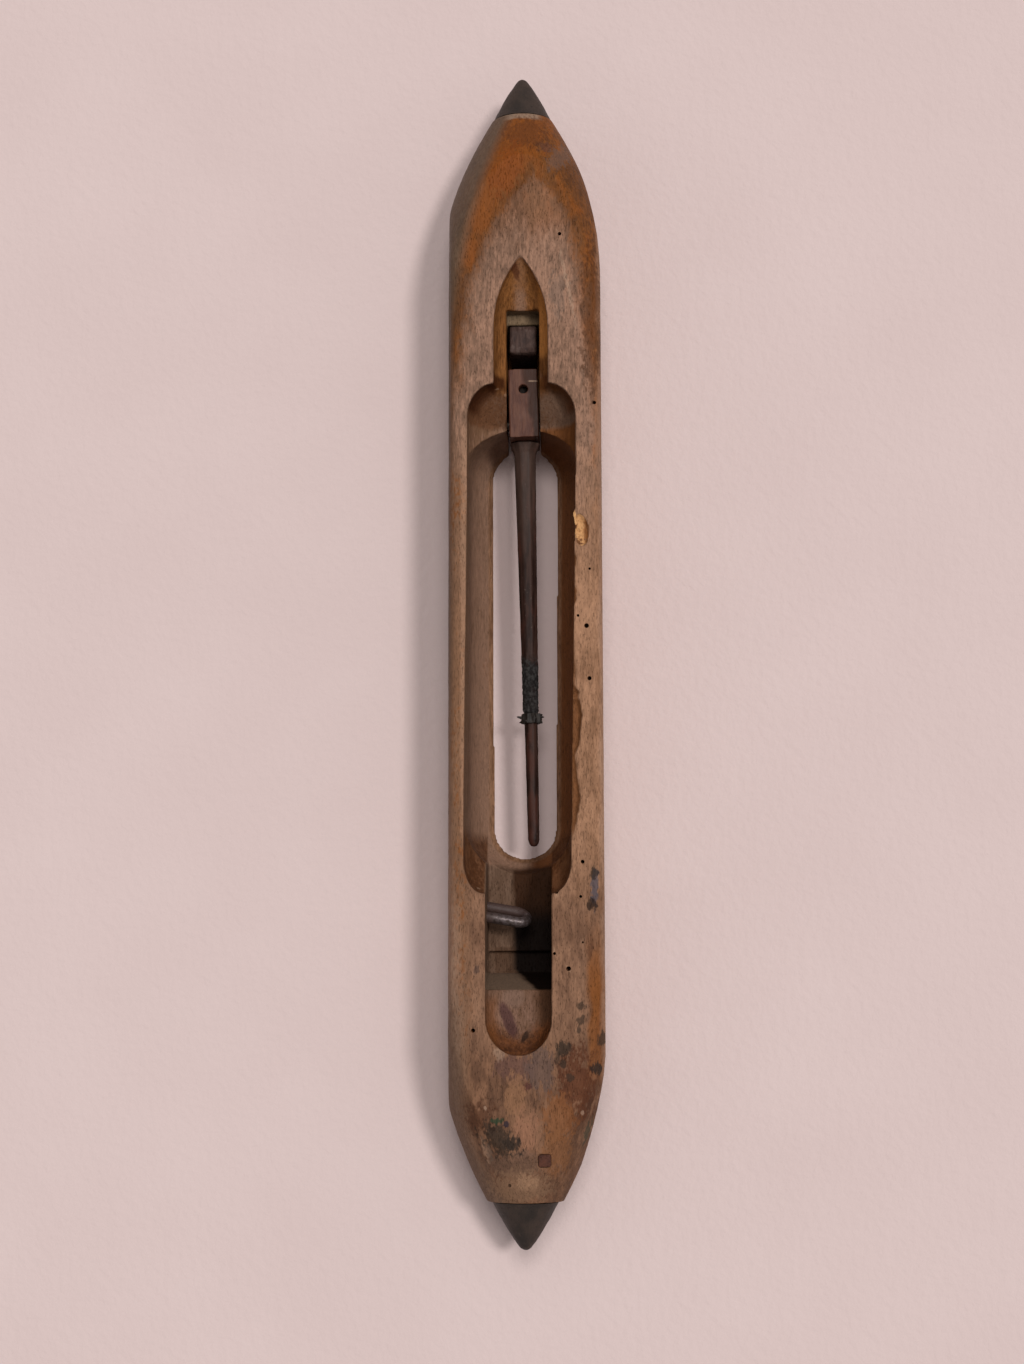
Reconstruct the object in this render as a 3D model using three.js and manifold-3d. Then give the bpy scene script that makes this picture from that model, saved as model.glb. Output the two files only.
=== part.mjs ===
// A wooden power-loom shuttle: a pointed hardwood block with steel tips, hollowed for a cop of yarn that is
// pushed onto a hinged steel spindle. Millimetres. +X runs to the thread-exit end, +Z out of the open face,
// and the flat back lies on Z = 0 with the origin under the middle of the shuttle.
import * as THREE from "three";
import { mergeVertices } from "three/addons/utils/BufferGeometryUtils.js";
import Module from "manifold-3d";

const wasm = await Module();
wasm.setup();

// Overall size
const overallLength = 385;
const width = 51;
const height = 38;
const seatGap = 0.3;
const cutMargin = 3;

// Wooden block: rounded long edges, a front wall that leans in towards the open face, turned noses, and a
// back wall that draws in over a last run before each end, by rate * distance ** power
const edgeRadius = 3.2;
const frontWallLean = 2.3;
const tongueDraw = { run: 57, rate: 0.0042, power: 2 };
const eyeDraw = { run: 46, rate: 0.038, power: 1.5 };
const drawSteps = 8;
const noseLength = 80;
const noseCurve = 2.4;
const noseSteps = 18;
const noseSides = 72;
const cornerSteps = 5;

// Steel tips: a bellied cone with a blunt point and a tang driven into the end of the block
const tongueTip = { length: 15, baseRadius: 9.7, woodRadius: 10.1 };
const eyeTip = { length: 15, baseRadius: 10.5, woodRadius: 12.1 };
const tipCurve = 0.78;
const tipBlunt = 0.8;
const tangRadius = 3.7;
const tangLength = 24;
const tipSides = 40;

// Main slot: a round-bottomed trough that breaks through the back, with rounded ends
const slotStart = -58.5;
const slotLength = 117;
const slotAxisHeight = 13.8;
const slotTongueEnd = {
  halfWidth: 17.5,
  frontShift: -0.3,
  backShift: 0.2,
  reach: 13,
  shoulderReach: 25,
  blunt: 0.33,
};
const slotEyeEnd = {
  halfWidth: 17.1,
  frontShift: -1.9,
  backShift: -0.1,
  reach: 16,
  shoulderReach: 22.5,
  blunt: 1,
};
const scoopSquareness = 3;
const scoopSteps = 12;

// Hinge pin across the block
const pivotSetback = 16.5;
const pinRadius = 1.5;
const pinSink = 1.8;
const pinClearance = 0.3;

// Heel of the spindle: a steel block whose lower edge is a cam with two flats for the spring
const heelWidth = 9.6;
const heelFront = 7;
const heelTail = 15.7;
const heelRise = 13.5;
const camRadius = 8.2;
const raisedAngle = 50;
const heelBevel = 0.4;
const tongueSkew = 1.1;
const tongueShift = 0.2;

// Mortise that holds the heel, and the gothic recess above it
const heelSideClearance = 0.6;
const mortiseShift = 0.1;
const mortiseFloor = 3;
const mortiseFloorLap = 4;
const mortiseStepHeight = 23.5;
const mortiseEndGap = 0.5;
const recessHalfWidth = 8.85;
const recessShift = -0.45;
const recessDepth = 10;
const recessRise = 0.75;
const recessLead = 15.9;
const recessArchLength = 24;

// Scooped shoulders beside the heel and at the far end of the slot
const shoulderLength = 11;
const shoulderDepth = { shallow: 7, deep: 15 };
const shoulderInset = { heel: 8.3, chamber: 10.8 };

// Thread chamber with its sloping end wall and the spoon-shaped run-out
const chamberWidth = 20.9;
const chamberShift = -1.7;
const chamberFloor = 8;
const chamberLength = 47;
const pocketWidth = 7.1;
const pocketDepth = 2.5;
const chamberEndRun = 5.5;
const spoonDepth = 10.5;
const spoonLength = 20.5;
const spoonStraight = 9;

// Spindle: flared root, two tapers and a rough grip ring between them
const heelWeb = 0.7;
const rootRadius = 4.7;
const rootLength = 3.6;
const shankRadius = { root: 3.45, ring: 2.4 };
const pointTaper = { ring: 2.1, end: 1.7 };
const ringSetback = 43.9;
const ringLength = 3.8;
const ringRadius = 3.1;
const ringBarb = 0.75;
const ringBarbs = 9;
const spindleEndClearance = 9.2;
const spindleTang = { width: 6, height: 4, length: 19 };
const rivetRadius = 1.2;
const rivetSetback = 9;
const rivetSink = 3;

// Heel spring under the heel, held down by a wooden block and a screw from the back
const springSideClearance = 1.4;
const springBow = 1;
const springThickness = 1.2;
const springLap = 2.5;
const swingClearance = 0.5;
const blockLength = 9.8;
const blockSideClearance = 1;
const blockGap = 4.1;
const blockHeight = 21.2;
const blockCrown = 2;
const blockBevel = 0.6;
const screwRadius = 1.75;
const screwHeadRadius = 3.4;
const screwHeadLength = 1.8;
const screwLength = 15;
const screwSink = 0.4;
const screwSlotWidth = 0.8;

// Thread guide: a wire staple driven into the front wall, and the glazed eye in the same wall
const guideWireRadius = 1.8;
const guideRise = 13;
const guideSetback = 19;
const guideReach = 13.4;
const guideSlope = 0.4;
const guideDrive = 5;
const guideLegOffset = new THREE.Vector3(-3.6, 0, -5.6);
const eyeRadius = 4;
const eyeBore = 2;
const eyeLength = 8;
const eyeRise = 5;
const eyeSink = 0.3;

// Square nail beside the tang of the thread-exit tip
const nailSide = 3.4;
const nailLength = 12;
const nailSetback = 13.5;
const nailWeb = 0.9;
const nailSink = 0.6;

// Places that follow from the sizes above
const woodStart = -overallLength / 2 + tongueTip.length + seatGap;
const woodEnd = overallLength / 2 - eyeTip.length - seatGap;
const slotEnd = slotStart + slotLength;
const pivotX = slotStart - pivotSetback;
const pivotHeight = mortiseFloor + springThickness + springBow + 2 * seatGap + camRadius;
const nosePointHeight = height / 2;
const tongueY = mortiseShift + tongueShift;
const mortiseWidth = heelWidth + 2 * heelSideClearance;
const springWidth = mortiseWidth - 2 * springSideClearance;
const blockWidth = mortiseWidth - 2 * blockSideClearance;
const heelSwing = Math.hypot(heelTail, heelRise);
const blockFront = pivotX - heelSwing - swingClearance;
const blockBack = blockFront - blockLength;
const mortiseEnd = blockBack - blockGap;
const recessApex = mortiseEnd - recessLead;
const heelShoulder = slotStart - slotTongueEnd.shoulderReach;
const chamberShoulder = slotEnd + slotEyeEnd.shoulderReach;
const chamberEnd = slotEnd + chamberLength;
const spoonStart = chamberEnd + chamberEndRun;
const eyeX = chamberEnd - pocketWidth / 2;
const eyeHeight = chamberFloor + eyeRise;
const guideHeight = chamberFloor + guideRise;
const blockMiddle = (blockFront + blockBack) / 2;
const raised = THREE.MathUtils.degToRad(raisedAngle);
const spindleRise = pinRadius + pinClearance + heelWeb + spindleTang.height / 2;
const spindleEnd = pivotSetback + slotLength + slotEyeEnd.reach - spindleEndClearance;
const ringStart = spindleEnd - ringSetback;
const nailShift = tangRadius + nailWeb + nailSide / 2;

const lerp = THREE.MathUtils.lerp;
const frontWallAt = (z) => -width / 2 + (frontWallLean * (z - edgeRadius)) / (height - edgeRadius);

// Solids and cuts

function solid(geometry) {
  const bare = geometry.clone();
  bare.deleteAttribute("normal");
  bare.deleteAttribute("uv");
  const merged = mergeVertices(bare, 1e-4);
  const mesh = new wasm.Mesh({
    numProp: 3,
    vertProperties: merged.attributes.position.array,
    triVerts: new Uint32Array(merged.index.array),
  });
  return new wasm.Manifold(mesh);
}

function geometryOf(made) {
  const mesh = made.getMesh();
  const geometry = new THREE.BufferGeometry();
  geometry.setAttribute("position", new THREE.BufferAttribute(mesh.vertProperties, 3));
  geometry.setIndex(new THREE.BufferAttribute(mesh.triVerts, 1));
  geometry.computeVertexNormals();
  return geometry;
}

// A closed skin over rings of points that follow one another along +X, each anticlockwise seen from +X.
function loft(rings) {
  const count = rings[0].length;
  const positions = rings.flat().flatMap((point) => [point.x, point.y, point.z]);
  const faces = [];
  for (let i = 0; i + 1 < rings.length; i++) {
    for (let j = 0; j < count; j++) {
      const next = (j + 1) % count;
      const a = i * count + j;
      const b = i * count + next;
      faces.push(a, b, b + count, a, b + count, a + count);
    }
  }
  for (const [ring, facesForward] of [[0, false], [rings.length - 1, true]]) {
    const middle = positions.length / 3;
    const centre = new THREE.Vector3();
    rings[ring].forEach((point) => centre.addScaledVector(point, 1 / count));
    positions.push(centre.x, centre.y, centre.z);
    for (let j = 0; j < count; j++) {
      const a = ring * count + j;
      const b = ring * count + ((j + 1) % count);
      faces.push(middle, facesForward ? a : b, facesForward ? b : a);
    }
  }
  const geometry = new THREE.BufferGeometry();
  geometry.setAttribute("position", new THREE.Float32BufferAttribute(positions, 3));
  geometry.setIndex(faces);
  return geometry;
}

// A profile drawn in X and Z, given its thickness along Y about the plane Y = middle.
function slab(shape, thickness, middle, bevel = 0) {
  const geometry = new THREE.ExtrudeGeometry(shape, {
    depth: thickness - 2 * bevel,
    bevelEnabled: bevel > 0,
    bevelThickness: bevel,
    bevelSize: bevel,
    bevelOffset: -bevel,
    bevelSegments: 2,
    curveSegments: 16,
  });
  geometry.rotateX(Math.PI / 2);
  geometry.translate(0, middle + thickness / 2 - bevel, 0);
  return geometry;
}

function profile(points) {
  return new THREE.Shape(points.map(([x, z]) => new THREE.Vector2(x, z)));
}

// A box between two corners.
function boxBetween(low, high) {
  const geometry = new THREE.BoxGeometry(high[0] - low[0], high[1] - low[1], high[2] - low[2]);
  geometry.translate((low[0] + high[0]) / 2, (low[1] + high[1]) / 2, (low[2] + high[2]) / 2);
  return geometry;
}

// A round bar between two points.
function bar(from, to, radius, sides = 24) {
  const along = to.clone().sub(from);
  const geometry = new THREE.CylinderGeometry(radius, radius, along.length(), sides);
  const turn = new THREE.Quaternion().setFromUnitVectors(new THREE.Vector3(0, 1, 0), along.normalize());
  geometry.applyQuaternion(turn);
  const middle = from.clone().add(to).multiplyScalar(0.5);
  geometry.translate(middle.x, middle.y, middle.z);
  return geometry;
}

// A turned piece whose profile holds [distance along X, radius] pairs.
function turned(points, sides) {
  const geometry = new THREE.LatheGeometry(
    points.map(([x, radius]) => new THREE.Vector2(radius, x)),
    sides,
  );
  geometry.rotateZ(-Math.PI / 2);
  return geometry;
}

// Wooden block

// How far from the shuttle's axis the turned surface of a nose lies, at a distance from the end of the wood.
function noseRadius(run, endRadius) {
  const edgeReach = Math.hypot(width / 2 - edgeRadius, height / 2 - edgeRadius) + edgeRadius;
  return lerp(endRadius, edgeReach, 1 - (1 - run / noseLength) ** noseCurve);
}

function backWallDraw(x) {
  const ends = [[x - woodStart, tongueDraw], [woodEnd - x, eyeDraw]];
  const draws = ends.map(([run, draw]) => draw.rate * Math.max(draw.run - run, 0) ** draw.power);
  return Math.max(...draws);
}

// The block's cross-section: a rounded rectangle whose front wall leans and whose back wall draws in.
function blockSection(x) {
  const half = width / 2;
  const corner = edgeRadius;
  const draw = backWallDraw(x);
  const centres = [
    [half - corner, corner],
    [half - corner, height - corner],
    [corner - half, height - corner],
    [corner - half, corner],
  ];
  return centres.flatMap(([y, z], quarter) =>
    Array.from({ length: cornerSteps + 1 }, (_, step) => {
      const angle = (quarter - 1 + step / cornerSteps) * (Math.PI / 2);
      const py = y + corner * Math.cos(angle);
      const pz = z + corner * Math.sin(angle);
      const lean = (frontWallLean * Math.max(pz - corner, 0)) / (height - corner);
      const shift = (lean * (half - py) - draw * (half + py)) / (2 * half);
      return new THREE.Vector3(x, py + shift, pz);
    }),
  );
}

// The rounded block, brought down to its turned noses.
function blockBlank() {
  const runs = Array.from({ length: noseSteps + 1 }, (_, i) => noseLength * (i / noseSteps) ** 1.3);
  const outline = [
    [woodStart, 0],
    ...runs.map((run) => [woodStart + run, noseRadius(run, tongueTip.woodRadius)]),
    ...runs.map((run) => [woodEnd - run, noseRadius(run, eyeTip.woodRadius)]).reverse(),
    [woodEnd, 0],
  ];
  const noses = turned(outline, noseSides).translate(0, 0, nosePointHeight);
  const shares = Array.from({ length: drawSteps + 1 }, (_, i) => i / drawSteps);
  const places = [
    woodStart - cutMargin,
    ...shares.map((share) => woodStart + tongueDraw.run * share),
    ...shares.map((share) => woodEnd - eyeDraw.run * (1 - share)),
    woodEnd + cutMargin,
  ];
  const beam = loft(places.map(blockSection));
  return solid(beam).intersect(solid(noses));
}

// A cutter with an open top and a scooped floor. Each station gives its half width, depth and middle.
function scoop(stations, squareness) {
  const power = 2 / squareness;
  return loft(
    stations.map(({ x, half, depth, middle }) => {
      const ring = [
        new THREE.Vector3(x, middle + half, height + cutMargin),
        new THREE.Vector3(x, middle - half, height + cutMargin),
      ];
      for (let step = 0; step <= scoopSteps; step++) {
        const angle = Math.PI * (1 + step / scoopSteps);
        const across = Math.sign(Math.cos(angle)) * Math.abs(Math.cos(angle)) ** power;
        const down = Math.abs(Math.sin(angle)) ** power;
        ring.push(new THREE.Vector3(x, middle + half * across, height - depth * down));
      }
      return ring;
    }),
  );
}

// The round-bottomed slot: straight sides above its axis, half round below, both ends drawn in to a round.
function mainSlot() {
  const endTurns = [80, 66, 52, 39, 26, 13, 0].map(THREE.MathUtils.degToRad);
  const stations = [
    ...endTurns.map((turn) => [slotStart - slotTongueEnd.reach * Math.sin(turn), 0, Math.cos(turn)]),
    ...endTurns.map((turn) => [slotEnd + slotEyeEnd.reach * Math.sin(turn), 1, Math.cos(turn)]).reverse(),
  ];
  return loft(
    stations.map(([x, share, fill]) => {
      const halfWidth = lerp(slotTongueEnd.halfWidth, slotEyeEnd.halfWidth, share);
      const half = halfWidth * fill;
      const down = halfWidth * fill ** lerp(slotTongueEnd.blunt, slotEyeEnd.blunt, share);
      const front = lerp(slotTongueEnd.frontShift, slotEyeEnd.frontShift, share);
      const back = lerp(slotTongueEnd.backShift, slotEyeEnd.backShift, share);
      const place = (y, z) => new THREE.Vector3(x, y + lerp(back, front, z / height), z);
      const ring = [place(half, height + cutMargin), place(-half, height + cutMargin)];
      for (let step = 0; step <= 2 * scoopSteps; step++) {
        const angle = Math.PI * (1 + step / (2 * scoopSteps));
        ring.push(place(half * Math.cos(angle), slotAxisHeight + down * Math.sin(angle)));
      }
      return ring;
    }),
  );
}

// The pointed recess: two arcs meet at its apex, then it runs straight to the shoulders.
function gothicRecess() {
  const archRadius = (recessArchLength ** 2 + recessHalfWidth ** 2) / (2 * recessHalfWidth);
  const halfAt = (run) => {
    const left = Math.max(recessArchLength - run, 0);
    return Math.sqrt(archRadius ** 2 - left ** 2) - (archRadius - recessHalfWidth);
  };
  const depthAt = (run) => recessDepth * Math.min(run / recessLead, 1) ** recessRise;
  const runs = [0.4, 1.5, 3.5, 6, 9, 12, 15, recessLead, 20, recessArchLength];
  const stations = runs.map((run) => ({
    x: recessApex + run,
    half: halfAt(run),
    depth: depthAt(run),
    middle: recessShift,
  }));
  stations.push({ ...stations.at(-1), x: heelShoulder + shoulderLength / 2 });
  return scoop(stations, 2.2);
}

// A scooped shoulder, drawn in at its outer end, that opens into the slot.
function shoulder(outerX, innerX, inset, end) {
  const direction = Math.sign(innerX - outerX);
  const shares = [0.004, 0.06, 0.16, 0.3, 0.46, 0.64, 0.82, 1];
  const stations = shares.map((share) => ({
    x: outerX + direction * shoulderLength * share,
    half: lerp(inset, end.halfWidth, Math.sqrt(1 - (1 - share) ** 2)),
    depth: lerp(shoulderDepth.shallow, shoulderDepth.deep, share),
    middle: end.frontShift,
  }));
  stations.push({ ...stations.at(-1), x: innerX });
  return scoop(direction > 0 ? stations : stations.reverse(), scoopSquareness);
}

function chamber() {
  const start = slotEnd + slotEyeEnd.reach / 2;
  const pocketStart = chamberEnd - pocketWidth;
  const top = height + cutMargin;
  const outline = profile([
    [start, top],
    [start, chamberFloor],
    [pocketStart, chamberFloor],
    [pocketStart, chamberFloor - pocketDepth],
    [chamberEnd, chamberFloor - pocketDepth],
    [chamberEnd, chamberFloor],
    [spoonStart, height - spoonDepth],
    [spoonStart, top],
  ]);
  return slab(outline, chamberWidth, chamberShift);
}

function spoon() {
  const shares = [0, 0.2, 0.36, 0.5, 0.62, 0.74, 0.84, 0.92, 0.97, 0.995];
  const straight = spoonStraight / spoonLength;
  const stations = shares.map((share) => {
    const closing = Math.max(share - straight, 0) / (1 - straight);
    return {
      x: spoonStart + spoonLength * share,
      half: (chamberWidth / 2) * Math.sqrt(1 - closing ** 2),
      depth: spoonDepth * Math.sqrt(1 - share ** 2),
      middle: chamberShift,
    };
  });
  stations.unshift({ ...stations[0], x: spoonStart - 0.5 });
  return scoop(stations, scoopSquareness);
}

function mortise() {
  const low = mortiseShift - mortiseWidth / 2;
  const high = mortiseShift + mortiseWidth / 2;
  const openBack = pivotX - mortiseFloorLap;
  const top = height + cutMargin;
  const blind = solid(boxBetween([blockBack - mortiseEndGap, low, mortiseFloor], [slotStart, high, top]));
  const step = solid(boxBetween([mortiseEnd, low, mortiseStepHeight], [blockBack, high, top]));
  const through = solid(boxBetween([openBack, low, -cutMargin], [slotStart - 1, high, top]));
  return blind.add(step).add(through);
}

const along = (x, y, z) => new THREE.Vector3(x, y, z);

// Where the guide wire runs: out of the front wall, round its free end and back into the wall lower down.
function guideRoute() {
  const wallEnd = along(chamberEnd - guideSetback, chamberShift - chamberWidth / 2, guideHeight);
  const way = along(guideSlope, 1, 0).normalize();
  const side = guideLegOffset.clone().normalize();
  const bend = guideLegOffset.length() / 2;
  const reaches = [-guideDrive, 0, (guideReach - bend) / 2, guideReach - bend];
  const leg = reaches.map((reach) => wallEnd.clone().addScaledVector(way, reach));
  const round = [30, 60, 90, 120, 150].map((degrees) => {
    const angle = THREE.MathUtils.degToRad(degrees);
    const point = leg.at(-1).clone();
    point.addScaledVector(side, bend * (1 - Math.cos(angle)));
    return point.addScaledVector(way, bend * Math.sin(angle));
  });
  const otherLeg = leg.map((point) => point.clone().add(guideLegOffset)).reverse();
  return [...leg, ...round, ...otherLeg];
}

// A bore along Y, from outside the front wall to the plane Y = depth.
function crossBore(x, z, depth, radius) {
  return solid(bar(along(x, -width, z), along(x, depth, z), radius));
}

function guideHoles() {
  const route = guideRoute();
  const way = route[1].clone().sub(route[0]).normalize();
  return [route[0], route.at(-1)].map((end) => {
    const from = end.clone().addScaledVector(way, -seatGap);
    const to = end.clone().addScaledVector(way, guideDrive + cutMargin);
    return solid(bar(from, to, guideWireRadius + seatGap));
  });
}

function tipSocket(end, direction) {
  const from = along(end + direction * cutMargin, 0, nosePointHeight);
  const to = along(end - direction * (tangLength + seatGap), 0, nosePointHeight);
  return solid(bar(from, to, tangRadius + seatGap));
}

const eyeFace = frontWallAt(eyeHeight + eyeRadius) + eyeSink;
const nailX = woodEnd - nailSetback;
const nailRise = Math.sqrt(noseRadius(nailSetback, eyeTip.woodRadius) ** 2 - nailShift ** 2);
const nailTop = Math.min(height, nosePointHeight + nailRise) - nailSink;

function nailHole() {
  const half = nailSide / 2 + seatGap;
  const low = [nailX - half, nailShift - half, nailTop - nailLength - seatGap];
  return solid(boxBetween(low, [nailX + half, nailShift + half, height + cutMargin]));
}

// The screw's outline, from its head up, with room around it in the wood.
function screwOutline(room) {
  return [
    [0, 0],
    [0, screwHeadRadius + room],
    [screwHeadLength * 0.3, screwHeadRadius + room],
    [screwHeadLength, screwRadius + room],
    [screwLength - 2, screwRadius + room],
    [screwLength + room, 0.4],
    [screwLength + room, 0],
  ];
}

function screwHole() {
  const hole = turned(screwOutline(seatGap), 28).rotateY(-Math.PI / 2).translate(0, 0, screwSink);
  const mouth = bar(along(0, 0, -cutMargin), along(0, 0, screwSink + seatGap), screwHeadRadius + seatGap, 28);
  const place = [blockMiddle, mortiseShift, 0];
  return solid(hole.translate(...place)).add(solid(mouth.translate(...place)));
}

function blockGeometry() {
  const cuts = [
    solid(mainSlot()),
    solid(gothicRecess()),
    solid(shoulder(heelShoulder, slotStart, shoulderInset.heel, slotTongueEnd)),
    solid(shoulder(chamberShoulder, slotEnd, shoulderInset.chamber, slotEyeEnd)),
    solid(chamber()),
    solid(spoon()),
    mortise(),
    tipSocket(woodStart, -1),
    tipSocket(woodEnd, 1),
    crossBore(pivotX, pivotHeight, width, pinRadius + pinClearance),
    crossBore(eyeX, eyeHeight, eyeFace + eyeLength + seatGap, eyeRadius + seatGap),
    crossBore(eyeX, eyeHeight, chamberShift, eyeBore + seatGap),
    ...guideHoles(),
    nailHole(),
    screwHole(),
  ];
  return geometryOf(cuts.reduce((block, cut) => block.subtract(cut), blockBlank()));
}

// Steel tips

function tipGeometry(tip) {
  const points = [
    [-tangLength, 0],
    [-tangLength, tangRadius * 0.7],
    [-tangLength + 2, tangRadius],
    [0, tangRadius],
  ];
  for (const share of [1, 0.85, 0.7, 0.55, 0.4, 0.27, 0.16, 0.09, 0.05, 0.025, 0.01]) {
    const run = tip.length * share;
    const point = Math.min(run / tipBlunt, 1);
    const radius = tip.baseRadius * ((run + tipBlunt) / (tip.length + tipBlunt)) ** tipCurve;
    points.push([tip.length - run, radius * Math.sqrt(1 - (1 - point) ** 2)]);
  }
  points.push([tip.length, 0]);
  return turned(points, tipSides);
}

// Spindle assembly, in its own frame with the hinge pin on the Y axis

function heelGeometry() {
  const outline = new THREE.Shape();
  const flatEnd = (heelTail * Math.sin(raised) - camRadius) / Math.cos(raised);
  outline.moveTo(heelFront, heelRise);
  outline.lineTo(-heelTail, heelRise);
  outline.lineTo(-heelTail, flatEnd);
  outline.absarc(0, 0, camRadius, -Math.PI / 2 - raised, -Math.PI / 2, false);
  outline.lineTo(heelFront, -camRadius);
  outline.closePath();
  const pinHole = bar(along(0, -width, 0), along(0, width, 0), pinRadius + pinClearance);
  const socketSide = spindleTang.width / 2 + seatGap;
  const socketHigh = spindleTang.height / 2 + seatGap;
  const socket = boxBetween(
    [heelFront - spindleTang.length, -socketSide, spindleRise - socketHigh],
    [heelFront + cutMargin, socketSide, spindleRise + socketHigh],
  );
  const rivetHole = bar(
    along(-rivetSetback, 0, spindleRise - spindleTang.height),
    along(-rivetSetback, 0, heelRise + cutMargin),
    rivetRadius + seatGap,
  );
  return geometryOf(
    solid(slab(outline, heelWidth, 0, heelBevel))
      .subtract(solid(pinHole))
      .subtract(solid(socket))
      .subtract(solid(rivetHole)),
  );
}

function spindleGeometry() {
  const root = heelFront + seatGap;
  const ringEnd = ringStart + ringLength;
  const endCentre = spindleEnd - pointTaper.end;
  const points = [
    [root, 0],
    [root, rootRadius],
    [root + rootLength * 0.3, rootRadius * 0.97],
    [root + rootLength, shankRadius.root],
    [ringStart, shankRadius.ring],
    [ringStart + 0.3, pointTaper.ring],
    [ringEnd, pointTaper.ring],
    [endCentre, pointTaper.end],
    [endCentre + pointTaper.end * 0.5, pointTaper.end * 0.87],
    [endCentre + pointTaper.end * 0.87, pointTaper.end * 0.5],
    [spindleEnd, 0],
  ];
  const rod = turned(points, 32).translate(0, 0, spindleRise);
  const tang = boxBetween(
    [root - spindleTang.length, -spindleTang.width / 2, spindleRise - spindleTang.height / 2],
    [root + rootLength / 2, spindleTang.width / 2, spindleRise + spindleTang.height / 2],
  );
  const rivetHole = bar(
    along(-rivetSetback, 0, spindleRise - spindleTang.height),
    along(-rivetSetback, 0, spindleRise + spindleTang.height),
    rivetRadius + seatGap,
  );
  return geometryOf(solid(rod).add(solid(tang)).subtract(solid(rivetHole)));
}

function rivetGeometry() {
  const low = along(-rivetSetback, 0, spindleRise - spindleTang.height + seatGap);
  return bar(low, along(-rivetSetback, 0, heelRise - rivetSink), rivetRadius, 20);
}

function gripRingGeometry() {
  const outline = new THREE.Shape();
  for (let step = 0; step < 2 * ringBarbs; step++) {
    const angle = (Math.PI * step) / ringBarbs;
    const barb = step % 2 ? -0.5 : Math.abs(Math.cos(1.7 * step));
    const reach = ringRadius + ringBarb * barb;
    outline[step ? "lineTo" : "moveTo"](reach * Math.cos(angle), reach * Math.sin(angle));
  }
  outline.closePath();
  const bore = new THREE.Path();
  bore.absarc(0, 0, pointTaper.ring + seatGap, 0, 2 * Math.PI, true);
  outline.holes.push(bore);
  const length = ringLength - 2 * seatGap;
  const geometry = new THREE.ExtrudeGeometry(outline, { depth: length, bevelEnabled: false });
  geometry.rotateY(Math.PI / 2);
  return geometry.translate(ringStart + 2 * seatGap, 0, spindleRise);
}

// Heel spring and what holds it

function springGeometry() {
  const root = mortiseFloor + seatGap;
  const bow = [
    [blockBack + 0.5, 0],
    [blockFront, 0],
    [lerp(blockFront, pivotX, 0.25), 0.45],
    [lerp(blockFront, pivotX, 0.55), 0.9],
    [pivotX + springLap - 1.5, 1],
    [pivotX + springLap, 0.9],
  ];
  const under = bow.map(([x, share]) => [x, root + springBow * share]);
  const over = under.map(([x, z]) => [x, z + springThickness]).reverse();
  const leaf = solid(slab(profile([...under, ...over]), springWidth, mortiseShift));
  return geometryOf(leaf.subtract(screwHole()));
}

function springBlockGeometry() {
  const low = mortiseFloor + springThickness + 2 * seatGap;
  const high = low + blockHeight;
  const outline = profile([
    [blockBack, low],
    [blockFront, low],
    [blockFront, high - blockCrown],
    [blockFront - blockCrown * 0.3, high - blockCrown * 0.3],
    [blockFront - blockCrown, high],
    [blockBack + blockCrown, high],
    [blockBack + blockCrown * 0.3, high - blockCrown * 0.3],
    [blockBack, high - blockCrown],
  ]);
  return geometryOf(solid(slab(outline, blockWidth, mortiseShift, blockBevel)).subtract(screwHole()));
}

function springScrewGeometry() {
  const slotEnds = screwHeadRadius + cutMargin;
  const half = screwSlotWidth / 2;
  const slot = boxBetween([-1, -slotEnds, -half], [screwHeadLength / 2, slotEnds, half]);
  const screw = geometryOf(solid(turned(screwOutline(0), 28)).subtract(solid(slot)));
  return screw.rotateY(-Math.PI / 2);
}

// Thread guide, eye, pin and nail

function guideGeometry() {
  const route = new THREE.CatmullRomCurve3(guideRoute(), false, "centripetal");
  const wire = new THREE.Shape();
  wire.absarc(0, 0, guideWireRadius, 0, 2 * Math.PI, false);
  return new THREE.ExtrudeGeometry(wire, { steps: 44, extrudePath: route, curveSegments: 6 });
}

function eyeGeometry() {
  const lip = 0.6;
  const profileOf = [
    [0, eyeBore + lip],
    [0, eyeRadius - lip],
    [lip, eyeRadius],
    [eyeLength, eyeRadius],
    [eyeLength, eyeBore],
    [lip, eyeBore],
    [0, eyeBore + lip],
  ];
  return turned(profileOf, 32).rotateZ(Math.PI / 2);
}

function pinGeometry() {
  const start = frontWallAt(pivotHeight) + pinSink;
  const end = width / 2 - pinSink;
  return bar(along(0, start, 0), along(0, end, 0), pinRadius, 28);
}

function nailGeometry() {
  const shaft = nailSide * 0.32;
  const head = boxBetween([-nailSide / 2, -nailSide / 2, -1.6], [nailSide / 2, nailSide / 2, 0]);
  const stem = boxBetween([-shaft, -shaft, -nailLength], [shaft, shaft, -1]);
  return geometryOf(solid(head).add(solid(stem)));
}

// Finishes and assembly

function finish(color, roughness, metalness = 0) {
  return new THREE.MeshStandardMaterial({ color, roughness, metalness });
}

const wornWood = finish(0x9a7152, 0.6);
const stainedWood = finish(0x7d6a66, 0.7);
const darkSteel = finish(0x55504e, 0.5, 0.8);
const brownIron = finish(0x4a3530, 0.6, 0.6);
const springSteel = finish(0x3c3a3c, 0.45, 0.8);
const brightWire = finish(0x8c8684, 0.35, 0.9);
const glaze = finish(0xe6ddcc, 0.2);

function piece(name, geometry, material, place = [0, 0, 0]) {
  const mesh = new THREE.Mesh(geometry, material.clone());
  mesh.name = name;
  mesh.position.set(...place);
  return mesh;
}

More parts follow.
